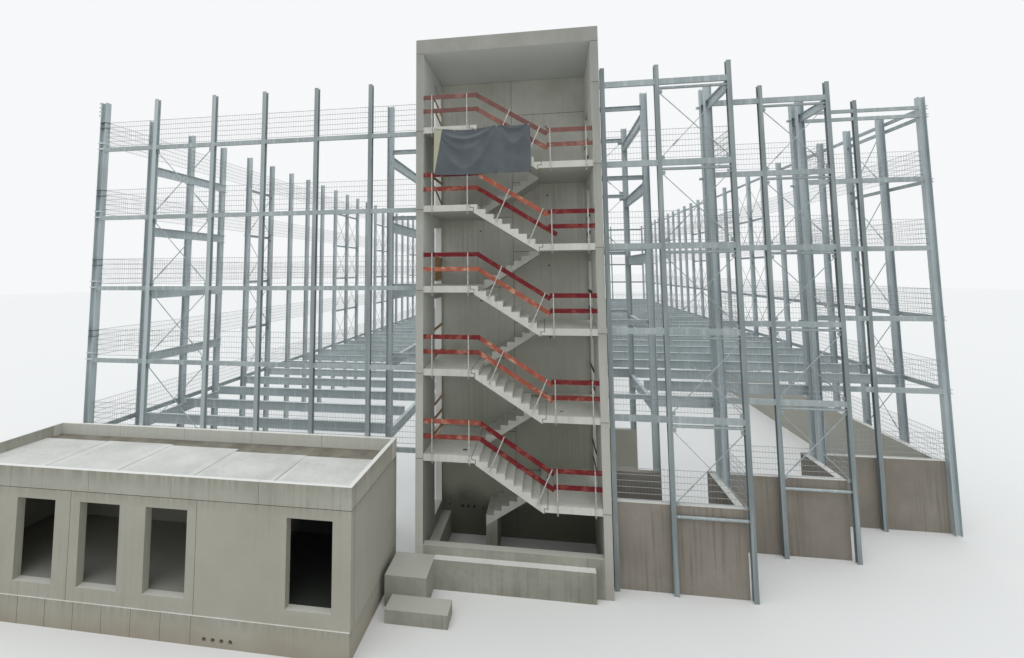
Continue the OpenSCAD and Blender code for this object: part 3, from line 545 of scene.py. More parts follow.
# The flights hang in half laps on the landings, on strips of black bearing rubber that
# show as a stepped line at the slab edge and along the top of the lap.
step_x, tread, riser, steps = -0.5075, 0.140, 0.0875, 8
run = (steps - 1) * tread
flat_end, lap, landing_t = 0.125, 0.060, 0.110
front_set, flight_w = 0.020, 0.725
rubber, tree, shader, coords = new_material("rubber")
worn = noise(tree, coords, 60, 3)
worn_tone = blend(tree, worn, (0.015, 0.015, 0.013, 1), (0.045, 0.045, 0.04, 1))
tree.links.new(worn_tone, shader.inputs["Base Color"])
tree.links.new(ramp(tree, worn, 0.0, 1.2), shader.inputs["Roughness"])
pad_t = 0.009


def lap_pad(side):
    """The stepped strip of one half lap; side is 1 where the landing lies on the left."""
    half = pad_t / 2
    made = solid(-half, half, -proud, flight_w + proud, -landing_t / 2 - half, proud)
    foot = -landing_t / 2
    pull(made, lambda c, n: n.z < -0.9, (0, 0, -0.0001))
    low = solid(-half, lap + half, -proud, flight_w + proud, foot - half, foot + half)
    if side < 0:
        low.data.transform(Matrix.Translation((-lap, 0, 0)))
    tail = solid(-half, half, -proud, flight_w + proud, -landing_t - proud, foot - half)
    tail.data.transform(Matrix.Translation((side * lap, 0, 0)))
    return join([made, low, tail])


left_lap = [at(step_x - flat_end, front_set, left_level[k]) for k in range(1, 6)]
left_lap += [at(step_x - flat_end, tower_in - flight_w, left_level[k]) for k in range(1, 5)]
right_lap = [at(step_x + run + flat_end, front_set, right_level[k]) for k in range(1, 6)]
right_lap += [at(step_x + run + flat_end, tower_in - flight_w, right_level[k]) for k in range(1, 6)]
set_out(lap_pad(1), left_lap, "left_lap_pads", rubber)
set_out(lap_pad(-1), right_lap, "right_lap_pads", rubber)

# Guard posts
# Square steel tubes that are clamped round the slab edges: a jaw with a spindle grips
# each slab from below, and two hooks on every post carry the boards.
bare_steel, tree, shader, coords = new_material("bare_steel", 0.35)
patina = noise(tree, coords, 24, 5)
tone = blend(tree, ramp(tree, patina, 0.35, 0.7), (0.62, 0.61, 0.58, 1), (0.36, 0.34, 0.31, 1))
tree.links.new(tone, shader.inputs["Base Color"])
tree.links.new(between(tree, patina, 0.4, 0.7), shader.inputs["Roughness"])
dress("guard_posts", bare_steel)
rail_post, board_low, board_high, board_h, board_t = 0.018, 0.290, 0.540, 0.075, 0.015
post_back = front_set
post_front = front_set - rail_post
upright_x = {"left": (-1.3045, -0.6755), "right": (0.7525, 1.3475)}
upright_at = [(x, left_level[k]) for k in range(1, 6) for x in upright_x["left"]]
upright_at += [(x, right_level[k]) for k in range(1, 6) for x in upright_x["right"]]

jaw = solid(-0.009, 0.009, post_front, post_back + 0.060, -landing_t - 0.010, -landing_t)
pull(jaw, lambda c, n: n.z < -0.9, (0, 0, -0.004))
spindle = turned(0.005, -0.022, 0.0, 8)
turn(spindle, 90)
spindle.data.transform(at(0, post_back + 0.014, -landing_t - 0.036))
handle = solid(-0.016, 0.016, post_back + 0.010, post_back + 0.018, -landing_t - 0.038,
               -landing_t - 0.031, 0.002)
seat_plate = solid(-0.014, 0.014, post_front + 0.001, post_back + 0.050, 0.0, 0.004, 0.001)
clamp = join([jaw, spindle, handle, seat_plate])
set_out(clamp, [at(x, 0, z) for x, z in upright_at], "post_clamps", bare_steel)

hook = solid(-0.007, 0.007, post_back, post_back + board_t + 0.003, -board_h / 2 - 0.003, -board_h / 2)
pull(hook, lambda c, n: n.y > 0.9, (0, 0.003, 0))
pull(hook, lambda c, n: n.z > 0.9 and c.y > post_back + board_t + 0.003, (0, 0, 0.020))
hook_places = [at(x, 0, z + h) for x, z in upright_at for h in (board_low, board_high)]
set_out(hook, hook_places, "board_hooks", bare_steel)

# Guard boards
# Site boards, painted red on both sides and used many times: some are still deep red,
# on others the paint has rubbed and bleached to orange and salmon, with bare ends.
painted, enter, leave = new_group(
    "Rubbed Paint",
    [("Vector", "Vector", None), ("Paint", "Color", (0.3, 0.03, 0.025, 1)),
     ("Faded", "Color", (0.5, 0.16, 0.1, 1)), ("Wood", "Color", (0.45, 0.33, 0.2, 1)),
     ("Age", "Float", 0.5)])
vector = enter.outputs["Vector"]
grain = stretched(painted, vector, (4.5, 90, 90), 5)
scuffs = noise(painted, vector, 7, 6, 0.7)
uneven = times(painted, times(painted, ramp(painted, scuffs, 0.3, 0.7), 0.5), -0.25, "ADD")
fade = times(painted, enter.outputs["Age"], uneven, "ADD")
fade = add_node(painted, "Clamp", {"Value": fade}).outputs[0]
tone = blend(painted, fade, enter.outputs["Paint"], enter.outputs["Faded"])
scuff_mask = times(painted, ramp(painted, scuffs, 0.52, 0.60), ramp(painted, grain, 0.38, 0.55))
scuff_mask = times(painted, scuff_mask, times(painted, enter.outputs["Age"], 0.12, "ADD"))
tone = blend(painted, times(painted, scuff_mask, 0.8), tone, enter.outputs["Wood"])
give_out(painted, leave, tone, (scuffs, 0.45, 0.8), grain)

# How far each board has bleached, from the lowest board up, two boards to a landing.
board_red, board_faded = (0.155, 0.013, 0.018, 1), (0.43, 0.135, 0.085, 1)
board_wood = (0.66, 0.42, 0.30, 1)
left_age = (0.35, 0.62, 0.28, 0.12, 0.95, 0.02, 0.30, 0.15, 0.30, 0.38)
right_age = (0.02, 0.10, 0.22, 0.10, 0.02, 0.0, 0.05, 0.05, 0.55, 0.50)
flight_age = (0.04, 0.06, 0.68, 0.72, 0.80, 0.02, 0.06, 0.85, 0.80, 0.28)


def board_ages(tree, place, levels, ages):
    """The age of the board at a height, as steps of a colour ramp."""
    bottom, span = 1.2, 8.0
    made = add_node(tree, "ValToRGB")
    made.color_ramp.interpolation = "CONSTANT"
    starts = [level + start for level in levels for start in (0.0, (board_low + board_high) / 2)]
    stops = made.color_ramp.elements
    stops[0].position, stops[0].color = 0, (ages[0],) * 3 + (1,)
    stops[1].position, stops[1].color = (starts[1] - bottom) / span, (ages[1],) * 3 + (1,)
    for start, age in zip(starts[2:], ages[2:]):
        stops.new((start - bottom) / span).color = (age,) * 3 + (1,)
    scaled = times(tree, times(tree, place, bottom, "SUBTRACT"), span, "DIVIDE")
    tree.links.new(scaled, made.inputs[0])
    return made.outputs[0]


def landing_ages(tree, split):
    """The ages of the boards on the landings of both sides."""
    on_right = times(tree, split[0], 0.1, "GREATER_THAN")
    return blend(tree, on_right, board_ages(tree, split[2], left_level[1:], left_age),
                 board_ages(tree, split[2], right_level[1:6], right_age))


def flight_ages(tree, split):
    """The ages of the boards on the flights, with the slope of the flights added up."""
    climb = times(tree, times(tree, split[0], -step_x, "ADD"), riser / tread)
    return board_ages(tree, times(tree, climb, split[2], "ADD"), left_level[1:], flight_age)


# The boards at the top landing have stood in dust and weather longest and are dull.
dusty_from, dusty_to = 7.05, 7.25
for name, ages in (("landing_board", landing_ages), ("flight_board", flight_ages)):
    board_paint, tree, shader, coords = new_material(name, specular=0.2)
    split = split_up(tree, coords)
    surface(tree, shader, painted, {"Vector": coords, "Paint": board_red, "Faded": board_faded,
                                    "Wood": board_wood, "Age": ages(tree, split)}, 0.3, 0.002)
    tone_over(tree, ramp(tree, split[2], dusty_from, dusty_to), 0.5, (0.17, 0.135, 0.13))
    dress(name + "s", board_paint)

# Timber guards in the doorways
# As long as the decks are open, two or three bare planks close each doorway above the
# entrance, some of them aslant. One doorway on the left has four upright ones instead.
timber_group, enter, leave = new_group(
    "Sawn Timber",
    [("Vector", "Vector", None), ("Early", "Color", (0.6, 0.42, 0.22, 1)),
     ("Late", "Color", (0.36, 0.22, 0.1, 1))])
vector = enter.outputs["Vector"]
rings = stretched(timber_group, vector, (60, 3, 60), 5)
blotch = times(timber_group, noise(timber_group, vector, 6, 3), 0.4)
tone = blend(timber_group, ramp(timber_group, rings, 0.4, 0.62), enter.outputs["Early"],
             enter.outputs["Late"])
tone = blend(timber_group, blotch, tone, enter.outputs["Late"])
give_out(timber_group, leave, tone, (rings, 0.65, 0.85), rings)


def timber(name, early, late):
    made, tree, shader, coords = new_material(name)
    surface(tree, shader, timber_group, {"Vector": coords, "Early": (*early, 1),
                                         "Late": (*late, 1)}, 0.3, 0.002)
    return made


fresh_timber = timber("fresh_timber", (0.56, 0.40, 0.22), (0.30, 0.18, 0.08))
old_timber = timber("old_timber", (0.17, 0.09, 0.07), (0.10, 0.05, 0.04))
door_y, door_w = 0.890, 0.620
plank_l, plank_h, plank_t = door_w + 0.070, 0.056, 0.014


def plank(side, length, height):
    """A plank with rounded edges, flat on the inner face of a side wall, its middle at 0."""
    x1, x2 = sorted((side * inner_x, side * (inner_x - plank_t)))
    made = solid(x1, x2, -length / 2, length / 2, -height / 2, height / 2)
    pull(made, lambda c, n: n.y < -0.9, (0, -0.004, 0))
    soften(made, 0.002)
    return made


def nailed(places, level):
    """Places of planks that are given by the y and height of their two ends."""
    found = []
    for y1, z1, y2, z2 in places:
        lean = math.degrees(math.atan2(z2 - z1, y2 - y1))
        found.append(at(0, (y1 + y2) / 2, level + (z1 + z2) / 2, lean, "X"))
    return found


left_planks = []
for k, ends in ((1, ((0.84, 0.59, 1.52, 0.59), (0.84, 0.34, 1.52, 0.32), (0.84, 0.07, 1.52, 0.05))),
                (2, ((0.84, 0.56, 1.53, 0.60), (0.84, 0.07, 1.53, 0.09))),
                (4, ((0.84, 0.64, 1.53, 0.65), (0.85, 0.47, 1.52, 0.22))),
                (5, ((0.85, 0.81, 1.53, 0.69), (0.85, 0.60, 1.53, 0.46)))):
    left_planks += nailed(ends, left_level[k])
set_out(plank(-1, plank_l, plank_h), left_planks, "left_door_planks", fresh_timber)
right_planks = [at(0, door_y + door_w / 2, right_level[k] + h) for k in range(1, 6) for h in (0.25, 0.56)]
set_out(plank(1, plank_l, plank_h), right_planks, "right_door_planks", old_timber)
upright_planks = [at(0, door_y + 0.079 + 0.154 * i, left_level[3] + 0.30, 90, "X") for i in range(4)]
set_out(plank(-1, 0.46, 0.150), upright_planks, "upright_door_planks", fresh_timber)

# Banner
# A banner of dark coated cloth, left plain. It hangs by steel eyelets in its hem before
# the guard posts and sags between them, so long folds run down from its corners.
banner_x, banner_w, banner_h, banner_top = -1.2605, 1.68, 0.815, 7.610
banner_y = -0.006
banner_cols, banner_rows = 72, 36
weave_group, enter, leave = new_group(
    "Coated Weave",
    [("Vector", "Vector", None), ("Thread", "Color", (0.1, 0.12, 0.13, 1)),
     ("Gap", "Color", (0.06, 0.07, 0.08, 1))])
vector = enter.outputs["Vector"]
warp, weft = [add_node(weave_group, "TexWave", {"Vector": vector, "Scale": 90}, bands_direction=way)
              for way in "XY"]
weave = times(weave_group, warp.outputs["Fac"], weft.outputs["Fac"])
dust = noise(weave_group, vector, 3, 6)
tone = blend(weave_group, times(weave_group, weave, 0.5), enter.outputs["Thread"],
             enter.outputs["Gap"])
dust_mask = times(weave_group, ramp(weave_group, dust, 0.42, 0.75), 0.3)
tone = blend(weave_group, dust_mask, tone, (0.22, 0.235, 0.24, 1))
give_out(weave_group, leave, tone, (dust, 0.34, 0.55), weave)
banner_cloth, tree, shader, coords = new_material("banner_cloth")
chart = tree.nodes.new("ShaderNodeUVMap")
chart.uv_map = "cut"
surface(tree, shader, weave_group, {"Vector": chart.outputs[0], "Thread": (0.075, 0.093, 0.107, 1),
                                    "Gap": (0.06, 0.075, 0.085, 1)}, 0.12, 0.001)
along, up, _ = split_up(tree, chart.outputs[0])
strip_line = times(tree, times(tree, up, 0.165), 0.012, "ADD")
tone_over(tree, times(tree, along, strip_line, "LESS_THAN"), 1, (0.43, 0.43, 0.31))
hem = times(tree, up, banner_h - 0.030, "GREATER_THAN")
tone_over(tree, hem, 0.35, (0.05, 0.055, 0.06))
shader.inputs["Sheen Weight"].default_value = 0.15

bpy.ops.object.select_all(action="DESELECT")
bpy.ops.mesh.primitive_grid_add(x_subdivisions=banner_cols, y_subdivisions=banner_rows, size=1)
banner = bpy.context.object
uv = banner.data.uv_layers.active
uv.name = "cut"
for loop in banner.data.loops:
    flat = banner.data.vertices[loop.vertex_index].co
    uv.data[loop.index].uv = ((flat.x + 0.5) * banner_w, (flat.y + 0.5) * banner_h)
ties_u = (0.0, 0.66, 1.0)
held = banner.vertex_groups.new(name="held")
for v in banner.data.vertices:
    u, h = v.co.x + 0.5, v.co.y + 0.5
    if h > 0.999:
        near = min(abs(u - tie) for tie in ties_u)
        held.add([v.index], 1.0 if near < 0.6 / banner_cols else 0.25, "REPLACE")
    if h < 0.001 and (u < 0.02 or u > 0.999):
        held.add([v.index], 0.5, "REPLACE")
    bulge = math.sin(7.0 * u + 2.2 * h) * math.sin(math.pi * u) * (1 - 0.4 * h)
    v.co = (banner_x + banner_w * u, banner_y - 0.003 * bulge, banner_top - banner_h * (1 - h))
hang = banner.modifiers.new("hang", "CLOTH")
hang.settings.quality = 7
hang.settings.mass = 0.25
hang.settings.tension_stiffness = 25
hang.settings.compression_stiffness = 25
hang.settings.shear_stiffness = 6
hang.settings.bending_stiffness = 0.08
hang.settings.air_damping = 2.0
hang.settings.shrink_min = -0.024
hang.settings.vertex_group_mass = "held"
hang.settings.pin_stiffness = 1.0
hang.collision_settings.use_collision = False
hang.point_cache.frame_start, hang.point_cache.frame_end = 1, 60
scene = bpy.context.scene
scene.frame_start, scene.frame_end = 1, 60
for step in range(1, 61):
    scene.frame_set(step)
bpy.context.view_layer.objects.active = banner
bpy.ops.object.modifier_apply(modifier="hang")
scene.frame_set(1)
front_most, back_most = -0.042, 0.0008
for v in banner.data.vertices:
    middle, half = (front_most + back_most) / 2, (back_most - front_most) / 2
    v.co.y = middle + half * math.tanh((v.co.y - middle) / half)
worked(banner, "finer", "SUBSURF", levels=1, render_levels=1)
worked(banner, "thick", "SOLIDIFY", thickness=0.0012, offset=0)
bpy.ops.object.shade_smooth()
finish(banner, "hung_banner", banner_cloth)
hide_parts("banner_sheet")

bpy.ops.object.select_all(action="DESELECT")
bpy.ops.mesh.primitive_torus_add(major_radius=0.011, minor_radius=0.003, major_segments=16,
                                 minor_segments=6, rotation=(math.pi / 2, 0, 0))
eyelet = bpy.context.object
bpy.ops.object.transform_apply(location=True, rotation=True, scale=True)
top_edge = [v.co for v in banner.data.vertices if v.co.z > banner_top - 0.06]
eyelet_places = []
for tie in (0.012, 0.22, 0.44, 0.66, 0.83, 0.988):
    x = banner_x + banner_w * tie
    near = min(top_edge, key=lambda p: (p.x - x) ** 2 + (p.z - banner_top - 0.01) ** 2)
    eyelet_places.append(at(near.x, near.y - 0.001, near.z - 0.018))
rings = set_out(eyelet, eyelet_places, "banner_eyelets", bare_steel)

# Zinc coated steel
# All the steel is hot dip galvanised: blue grey with a faint crystal pattern, lighter
# and darker runs down the posts, and a dull bloom where water stood.
zinc, enter, leave = new_group(
    "Zinc Coat",
    [("Vector", "Vector", None), ("Bright", "Color", (0.5, 0.54, 0.56, 1)),
     ("Dull", "Color", (0.36, 0.4, 0.42, 1)), ("Bloom", "Color", (0.62, 0.64, 0.64, 1)),
     ("Crystals", "Float", 0.4)])
vector = enter.outputs["Vector"]
cells = add_node(zinc, "TexVoronoi", {"Vector": vector, "Scale": 55, "Randomness": 1})
cell_tone = add_node(zinc, "SeparateColor", {"Color": cells.outputs["Color"]}).outputs
runs = stretched(zinc, vector, (16, 16, 0.9), 3)
broad_mask = ramp(zinc, noise(zinc, vector, 0.9, 4), 0.35, 0.65)
tone = blend(zinc, broad_mask, enter.outputs["Bright"], enter.outputs["Dull"])
crystal_mask = times(zinc, cell_tone[0], enter.outputs["Crystals"])
tone = blend(zinc, crystal_mask, tone, enter.outputs["Dull"])
tone = blend(zinc, times(zinc, ramp(zinc, runs, 0.52, 0.7), 0.5), tone, enter.outputs["Bloom"])
give_out(zinc, leave, tone, (cell_tone[1], 0.42, 0.62), cell_tone[0])


def galvanised(name, bright, dull, bloom, metallic=0.2, crystals=0.35):
    made, tree, shader, coords = new_material(name, metallic, 0.4)
    surface(tree, shader, zinc, {"Vector": coords, "Bright": (*bright, 1), "Dull": (*dull, 1),
                                 "Bloom": (*bloom, 1), "Crystals": crystals}, 0.06, 0.001)
    return made


post_zinc = galvanised("post_zinc", (0.33, 0.38, 0.39), (0.235, 0.275, 0.285), (0.48, 0.53, 0.545))
row_zinc = galvanised("row_zinc", (0.58, 0.65, 0.67), (0.44, 0.50, 0.52), (0.74, 0.80, 0.82))
beam_zinc = galvanised("beam_zinc", (0.46, 0.52, 0.53), (0.32, 0.37, 0.38), (0.60, 0.65, 0.66))
wire_zinc = galvanised("wire_zinc", (0.42, 0.45, 0.46), (0.33, 0.36, 0.37), (0.52, 0.55, 0.56))
tree = post_zinc.node_tree
newer = ramp(tree, split_up(tree, place_in(tree))[0], -3.2, -7.0)
tone_over(tree, newer, 0.75, (0.60, 0.67, 0.685))
for name in ("left_front_posts", "right_front_posts", "rear_posts"):
    dress(name, post_zinc)
for name in ("left_columns", "right_columns", "middle_columns", "ramp_columns", "left_deck_beams",
             "right_deck_beams", "ramp_beams", "left_header_beams", "step_beams"):
    dress(name, row_zinc)
for name in ("left_front_beams", "right_front_beams", "rear_beams", "left_edge_beams",
             "right_edge_beams", "strut_tubes", "left_brace_rods", "right_brace_rods", "side_brace_rods"):
    dress(name, beam_zinc)
for name in ("left_side_wires", "right_side_wires", "left_front_wires", "right_front_wires", "rear_wires"):
    dress(name, wire_zinc)

# Base plates and anchor bolts
# The columns that stand free on the ground end on plates with four anchor bolts each.
bay_y, bays = 1.25, 26
left_frame_y, frame_shift, col_w, post_w, post_d = 0.300, 0.090, 0.120, 0.076, 0.080
left_row_x, right_row_x, mid_x = 8.252, 8.297, 0.070
left_ramp_x, right_ramp_x, mid_ramp_x = -2.552, 2.612, 1.112
left_y = [left_frame_y + k * bay_y for k in range(bays + 1)]
right_y = [y + frame_shift for y in left_y]


def hex_bolt(radius, length, sides=6):
    """A hexagon nut and the round end of its bolt, standing along Z from 0."""
    nut = turned(radius, 0, length * 0.6, sides)
    end = turned(radius * 0.55, 0, length, 8)
    turn(nut, 90)
    turn(end, 90)
    return join([nut, end])


plate_half, plate_t, bolt_in = 0.085, 0.010, 0.068
plate = solid(-plate_half, plate_half, -plate_half, plate_half, 0, plate_t)
pull(plate, lambda c, n: n.z > 0.9, (0, 0, 0.0005))
corners = [at(sx * bolt_in, sy * bolt_in, plate_t) for sx in (-1, 1) for sy in (-1, 1)]
base = join([plate, copies_of(hex_bolt(0.012, 0.026), corners)])
base_places = [at(-left_row_x, y, 0) for y in left_y[1:]]
base_places += [at(-mid_x, y, 0) for y in left_y[3:bays]]
base_places += [at(left_ramp_x, left_y[k], 0) for k in (1, 3)]
set_out(base, base_places, "base_plates", row_zinc)

# Bolted ends of the deck beams and deep beams
# A deck beam ends in a welded plate that is bolted to the column's flange with four
# bolts; the deep beams of the ramp bay are fixed the same way.
deck_h, deck_w = 0.200, 0.080
end_t = 0.008
end = solid(-0.001, end_t, -deck_w / 2 - 0.006, deck_w / 2 + 0.006, -deck_h - 0.008, 0.008)
pull(end, lambda c, n: n.x > 0.9, (0.001, 0, 0))
bolt = hex_bolt(0.009, 0.014)
turn(bolt, 90, "Y")
bolt_places = [at(end_t, y, z) for y in (-0.028, 0.028) for z in (-0.045, -0.155)]
end = join([end, copies_of(bolt, bolt_places)])
mirrored = Matrix.Rotation(math.pi, 4, "Z")
inner_l, inner_r = -mid_x - col_w / 2, mid_x + col_w / 2
end_places = []
for k in range(4, bays):
    end_places.append(at(-left_row_x + col_w / 2, left_y[k], left_level[1]))
    end_places.append(at(inner_l, left_y[k], left_level[1]) @ mirrored)
    end_places.append(at(inner_r, right_y[k], right_level[2]))
    end_places.append(at(right_row_x - col_w / 2, right_y[k], right_level[2]) @ mirrored)
set_out(end, end_places, "deck_beam_ends", row_zinc)

side_bolt = hex_bolt(0.009, 0.014)
turn(side_bolt, -90)
ramp_plate_in, ramp_drop = 0.010, 0.120
ramp_ends = []
for x, ys, levels in ((left_ramp_x, left_y, left_level[1:]), (right_ramp_x, right_y, right_level[2:])):
    ends = ((ys[1] + col_w / 2 + ramp_plate_in, 0), (ys[3] - col_w / 2 - ramp_plate_in, 180))
    ramp_ends += [at(x + dx, y, level - ramp_drop + dz, half_turn) for level in levels
                  for y, half_turn in ends for dx in (-0.049, 0.049) for dz in (-0.030, -0.170)]
set_out(side_bolt, ramp_ends, "ramp_beam_bolts", row_zinc)

# Bolts of the front beams
# Each front beam is held by a pair of bolts through its web at either end, and the
# heads show on the front.
set_back = (col_w - post_d) / 2
front_y = left_frame_y - set_back
front_face = front_y - post_d / 2
left_x = [-8.252, -7.037, -5.757, -4.682, -3.607, -2.532]
right_x = [8.297, 7.057, 5.897, 4.737, 3.722, 2.567, 1.667]
head = hex_bolt(0.0085, 0.008)
turn(head, 90)
right_fronts = [front_face] + [y - col_w / 2 for y in right_y[1:3]]
head_in, top_rise = 0.022, 0.055
head_places = []
for k in range(1, 6):
    for i, x in enumerate(left_x):
        half = (col_w if i == 0 else post_w) / 2
        for side in (1,) if i == 0 else (-1, 1):
            for dz in (-0.024, -0.056):
                head_places.append(at(x + side * (half + head_in), front_face, left_level[k] + dz))
    for g, xs in enumerate((right_x[4:], right_x[2:5], right_x[:3])):
        for i, x in enumerate(xs):
            last = g > 0 and i == len(xs) - 1
            half = (col_w if last or (g == 2 and i == 0) else post_w) / 2
            sides = [side for side, ends in ((1, i == 0), (-1, last)) if not ends]
            for side in sides:
                for dz in (-0.030, -0.070):
                    z = right_level[k + 1] + dz + (top_rise if k == 5 and g == 2 else 0)
                    head_places.append(at(x + side * (half + head_in), right_fronts[g], z))
set_out(head, head_places, "front_beam_bolts", beam_zinc)

# Turnbuckles and pins of the brace rods
# Every rod is tightened by a turnbuckle near its lower end and pinned to its gussets.
buckle_l, nut_l, rod_t = 0.110, 0.014, 0.012
gusset_l, gusset_h, gusset_t = 0.090, 0.060, 0.008
barrel = turned(0.013, -buckle_l / 2, buckle_l / 2, 8)
nut_a = turned(0.014, -buckle_l / 2 - nut_l, -buckle_l / 2, 6)
nut_b = turned(0.014, buckle_l / 2, buckle_l / 2 + nut_l, 6)
buckle = join([barrel, nut_a, nut_b])
turn(buckle, 90, "Z")
pin = hex_bolt(0.011, 0.012)
turn(pin, 90)
buckles, pins = [], []


def brace_marks(frame_at, xa, xb, za, zb, seat):
    """Places of the turnbuckles and pins of one crossed pair of rods."""
    x1, x2 = xa + seat + gusset_l - 0.060, xb - seat - gusset_l + 0.060
    z1, z2 = za + gusset_h / 2, zb - gusset_h / 2
    slope = math.degrees(math.atan2(z2 - z1, x2 - x1))
    for face, start, top, lean in ((-1, z1, z2, -slope), (1, z2, z1, slope)):
        off = face * (gusset_t / 2 + rod_t / 2 - 0.001)
        share = 0.22 if face < 0 else 0.78
        place = at(x1 + (x2 - x1) * share, off, start + (top - start) * share, lean, "Y")
        buckles.append(frame_at @ place)
        for x, z in ((x1, start), (x2, top)):
            flip = 0 if face < 0 else 180
            pins.append(frame_at @ at(x, face * (gusset_t / 2 + rod_t - 0.001), z, flip))


clear, web = 0.010, 0.0025
front_tie, cross_tie, left_tie, right_tie = 0.080, 0.080, 0.090, 0.180
for k in range(1, 5):
    brace_marks(at(0, front_y, 0), left_x[1], left_x[2], left_level[k] + clear,
                left_level[k + 1] - front_tie - clear, web)
for k in range(1, 6):
    low, high = right_level[k] + clear, right_level[k + 1] - right_tie - clear
    brace_marks(at(0, front_y, 0), right_x[5], right_x[4], low, high, web)
    brace_marks(at(0, right_y[1] - set_back, 0), right_x[3], right_x[2], low, high, web)
for k in (4, 5):
    brace_marks(at(0, right_y[3], 0), mid_ramp_x, right_ramp_x, right_level[k] + clear,
                right_level[k + 1] - cross_tie - clear, col_w / 2)
left_braced = ((4, 1), (9, 2), (13, 2), (18, 2), (22, 2))
right_braced = ((3, 1), (8, 2), (13, 2), (18, 2), (22, 2))
for row_x, ys, levels, tie, braced in (
        (-left_row_x, left_y, left_level[1:], left_tie, left_braced),
        (right_row_x, right_y, right_level[1:], right_tie, right_braced)):
    for start, count in braced:
        for low, high in zip(levels, levels[1:]):
            for i in range(start, start + count):
                brace_marks(at(row_x, 0, 0, 90), ys[i], ys[i + 1], low + clear, high - tie - clear, web)
set_out(buckle, buckles, "turnbuckles", wire_zinc)
set_out(pin, pins, "brace_pins", wire_zinc)

# Flanges of the strut tubes
# The round struts of the braced front bays end in small round flanges.
flange = turned(0.036, 0, 0.007, 20)
soften(flange, 0.001)
turn(flange, -90, "Z")
strut_drop = 0.155
flange_places = []
for level in right_level[1:]:
    for a, b, y in ((5, 4, front_y), (3, 2, right_y[1] - set_back)):
        flange_places.append(at(right_x[a] + web, y, level - strut_drop))
        flange_places.append(at(right_x[b] - web, y, level - strut_drop, 180))
set_out(flange, flange_places, "strut_flanges", beam_zinc)

# Plates and collars of the left corner column
# Pairs of bright plates clasp the column at every deck and wait for the cladding, and
# four short teeth do so at its head. Darker collars hold the ends of the guard wires.
corner_x, corner_y = -left_row_x, left_frame_y
column_half = col_w / 2


def clasp(half, height, left):
    """A square plate round the column, reaching out to the left, with a bolt in front."""
    band = solid(-half - left, half, -half, half, -height / 2, height / 2)
    pull(band, lambda c, n: n.x > 0.9, (0.003, 0, 0))
    soften(band, 0.001)
    return join([band, turned(0.006, -half - 0.008, -half, 6, 0.030)])


clasped = [left_level[k] for k in range(2, 6)]
plate_places = [at(corner_x, corner_y, level + dz) for level in clasped for dz in (0.100, -0.020)]
bright_zinc = galvanised("bright_zinc", (0.74, 0.79, 0.80), (0.62, 0.67, 0.68), (0.82, 0.86, 0.87))
set_out(clasp(column_half + 0.006, 0.022, 0.020), plate_places, "corner_plates",
        bright_zinc)
collar_places = [at(corner_x, corner_y, level + dz) for level in clasped for dz in (0.415, 0.530)]
collar_zinc = galvanised("collar_zinc", (0.20, 0.22, 0.23), (0.13, 0.145, 0.15), (0.26, 0.28, 0.29))
set_out(clasp(column_half + 0.003, 0.014, 0.0), collar_places, "corner_collars",
        collar_zinc)
tooth = solid(-0.030, 0.034, -0.066, -0.060, -0.017, 0.017)
pull(tooth, lambda c, n: n.x < -0.9, (-0.004, 0, 0))
soften(tooth, 0.0015)
tooth_places = [at(corner_x - column_half, corner_y, z) for z in (8.565, 8.485, 8.400, 8.315)]
set_out(tooth, tooth_places, "corner_head_teeth", row_zinc)

# Seat stubs on the paired columns
# Where the front steps back, each inner column carries a short seat below every deck.
seat = solid(-0.062, 0, -0.025, 0.025, -0.020, 0.020)
pull(seat, lambda c, n: n.x < -0.9, (-0.006, 0, 0))
soften(seat, 0.002)
seat_places = []
for level in right_level[2:]:
    for x, y in ((right_x[4], right_y[1]), (right_x[2], right_y[2])):
        seat_places.append(at(x - col_w / 2, y, level - 0.113))
set_out(seat, seat_places, "seat_stubs", row_zinc)

# Clips of the guard wires
# The six wires of every band run through small clips on the backs of the front posts.
wire_t, wire_low, wire_gap = 0.006, 0.049, 0.098
wire_y = front_y + post_d / 2 + wire_t / 2
step_ys = [y - set_back + post_d / 2 + wire_t / 2 for y in right_y[1:3]]
clip_at = [(x, wire_y, level) for level in left_level[1:] for x in left_x[1:]]
for level in right_level[1:6]:
    clip_at += [(right_x[6], wire_y, level), (right_x[5], wire_y, level),
                (right_x[3], step_ys[0], level), (right_x[1], step_ys[1], level)]
clip = solid(-0.011, 0.011, -0.0055, 0.0055, -0.006, 0.006)
pull(clip, lambda c, n: n.y > 0.9, (0, 0.002, 0))
clip_places = [at(x, y + wire_t / 2, level + wire_low + wire_gap * i) for i in range(6)
               for x, y, level in clip_at]
set_out(clip, clip_places, "wire_clips", collar_zinc)

# Upright wires of the guard mesh
# The guards are welded mesh: thin upright wires, a hand apart, are spot welded to the
# inner side of the level wires of every band.
rod_t, mesh_gap, band_low, band_high = 0.0022, 0.050, 0.040, 0.548


def mesh_field(x1, x2, y1, y2, floor):
    """Upright wires from one corner to the next, at five decks that lie a storey apart."""
    rod = solid(x1, x1 + rod_t, y1, y1 + rod_t, floor + band_low, floor + band_high)
    pull(rod, lambda c, n: n.z > 0.9, (0, 0, 0.004))
    length = max(x2 - x1, y2 - y1)
    stride = (mesh_gap, 0, 0) if x2 - x1 > y2 - y1 else (0, mesh_gap, 0)
    for count, offset in ((int(length / mesh_gap), stride), (5, (0, 0, storey))):
        worked(rod, "repeat", "ARRAY", count=count, use_relative_offset=False,
               use_constant_offset=True, constant_offset_displace=offset)
    return rod


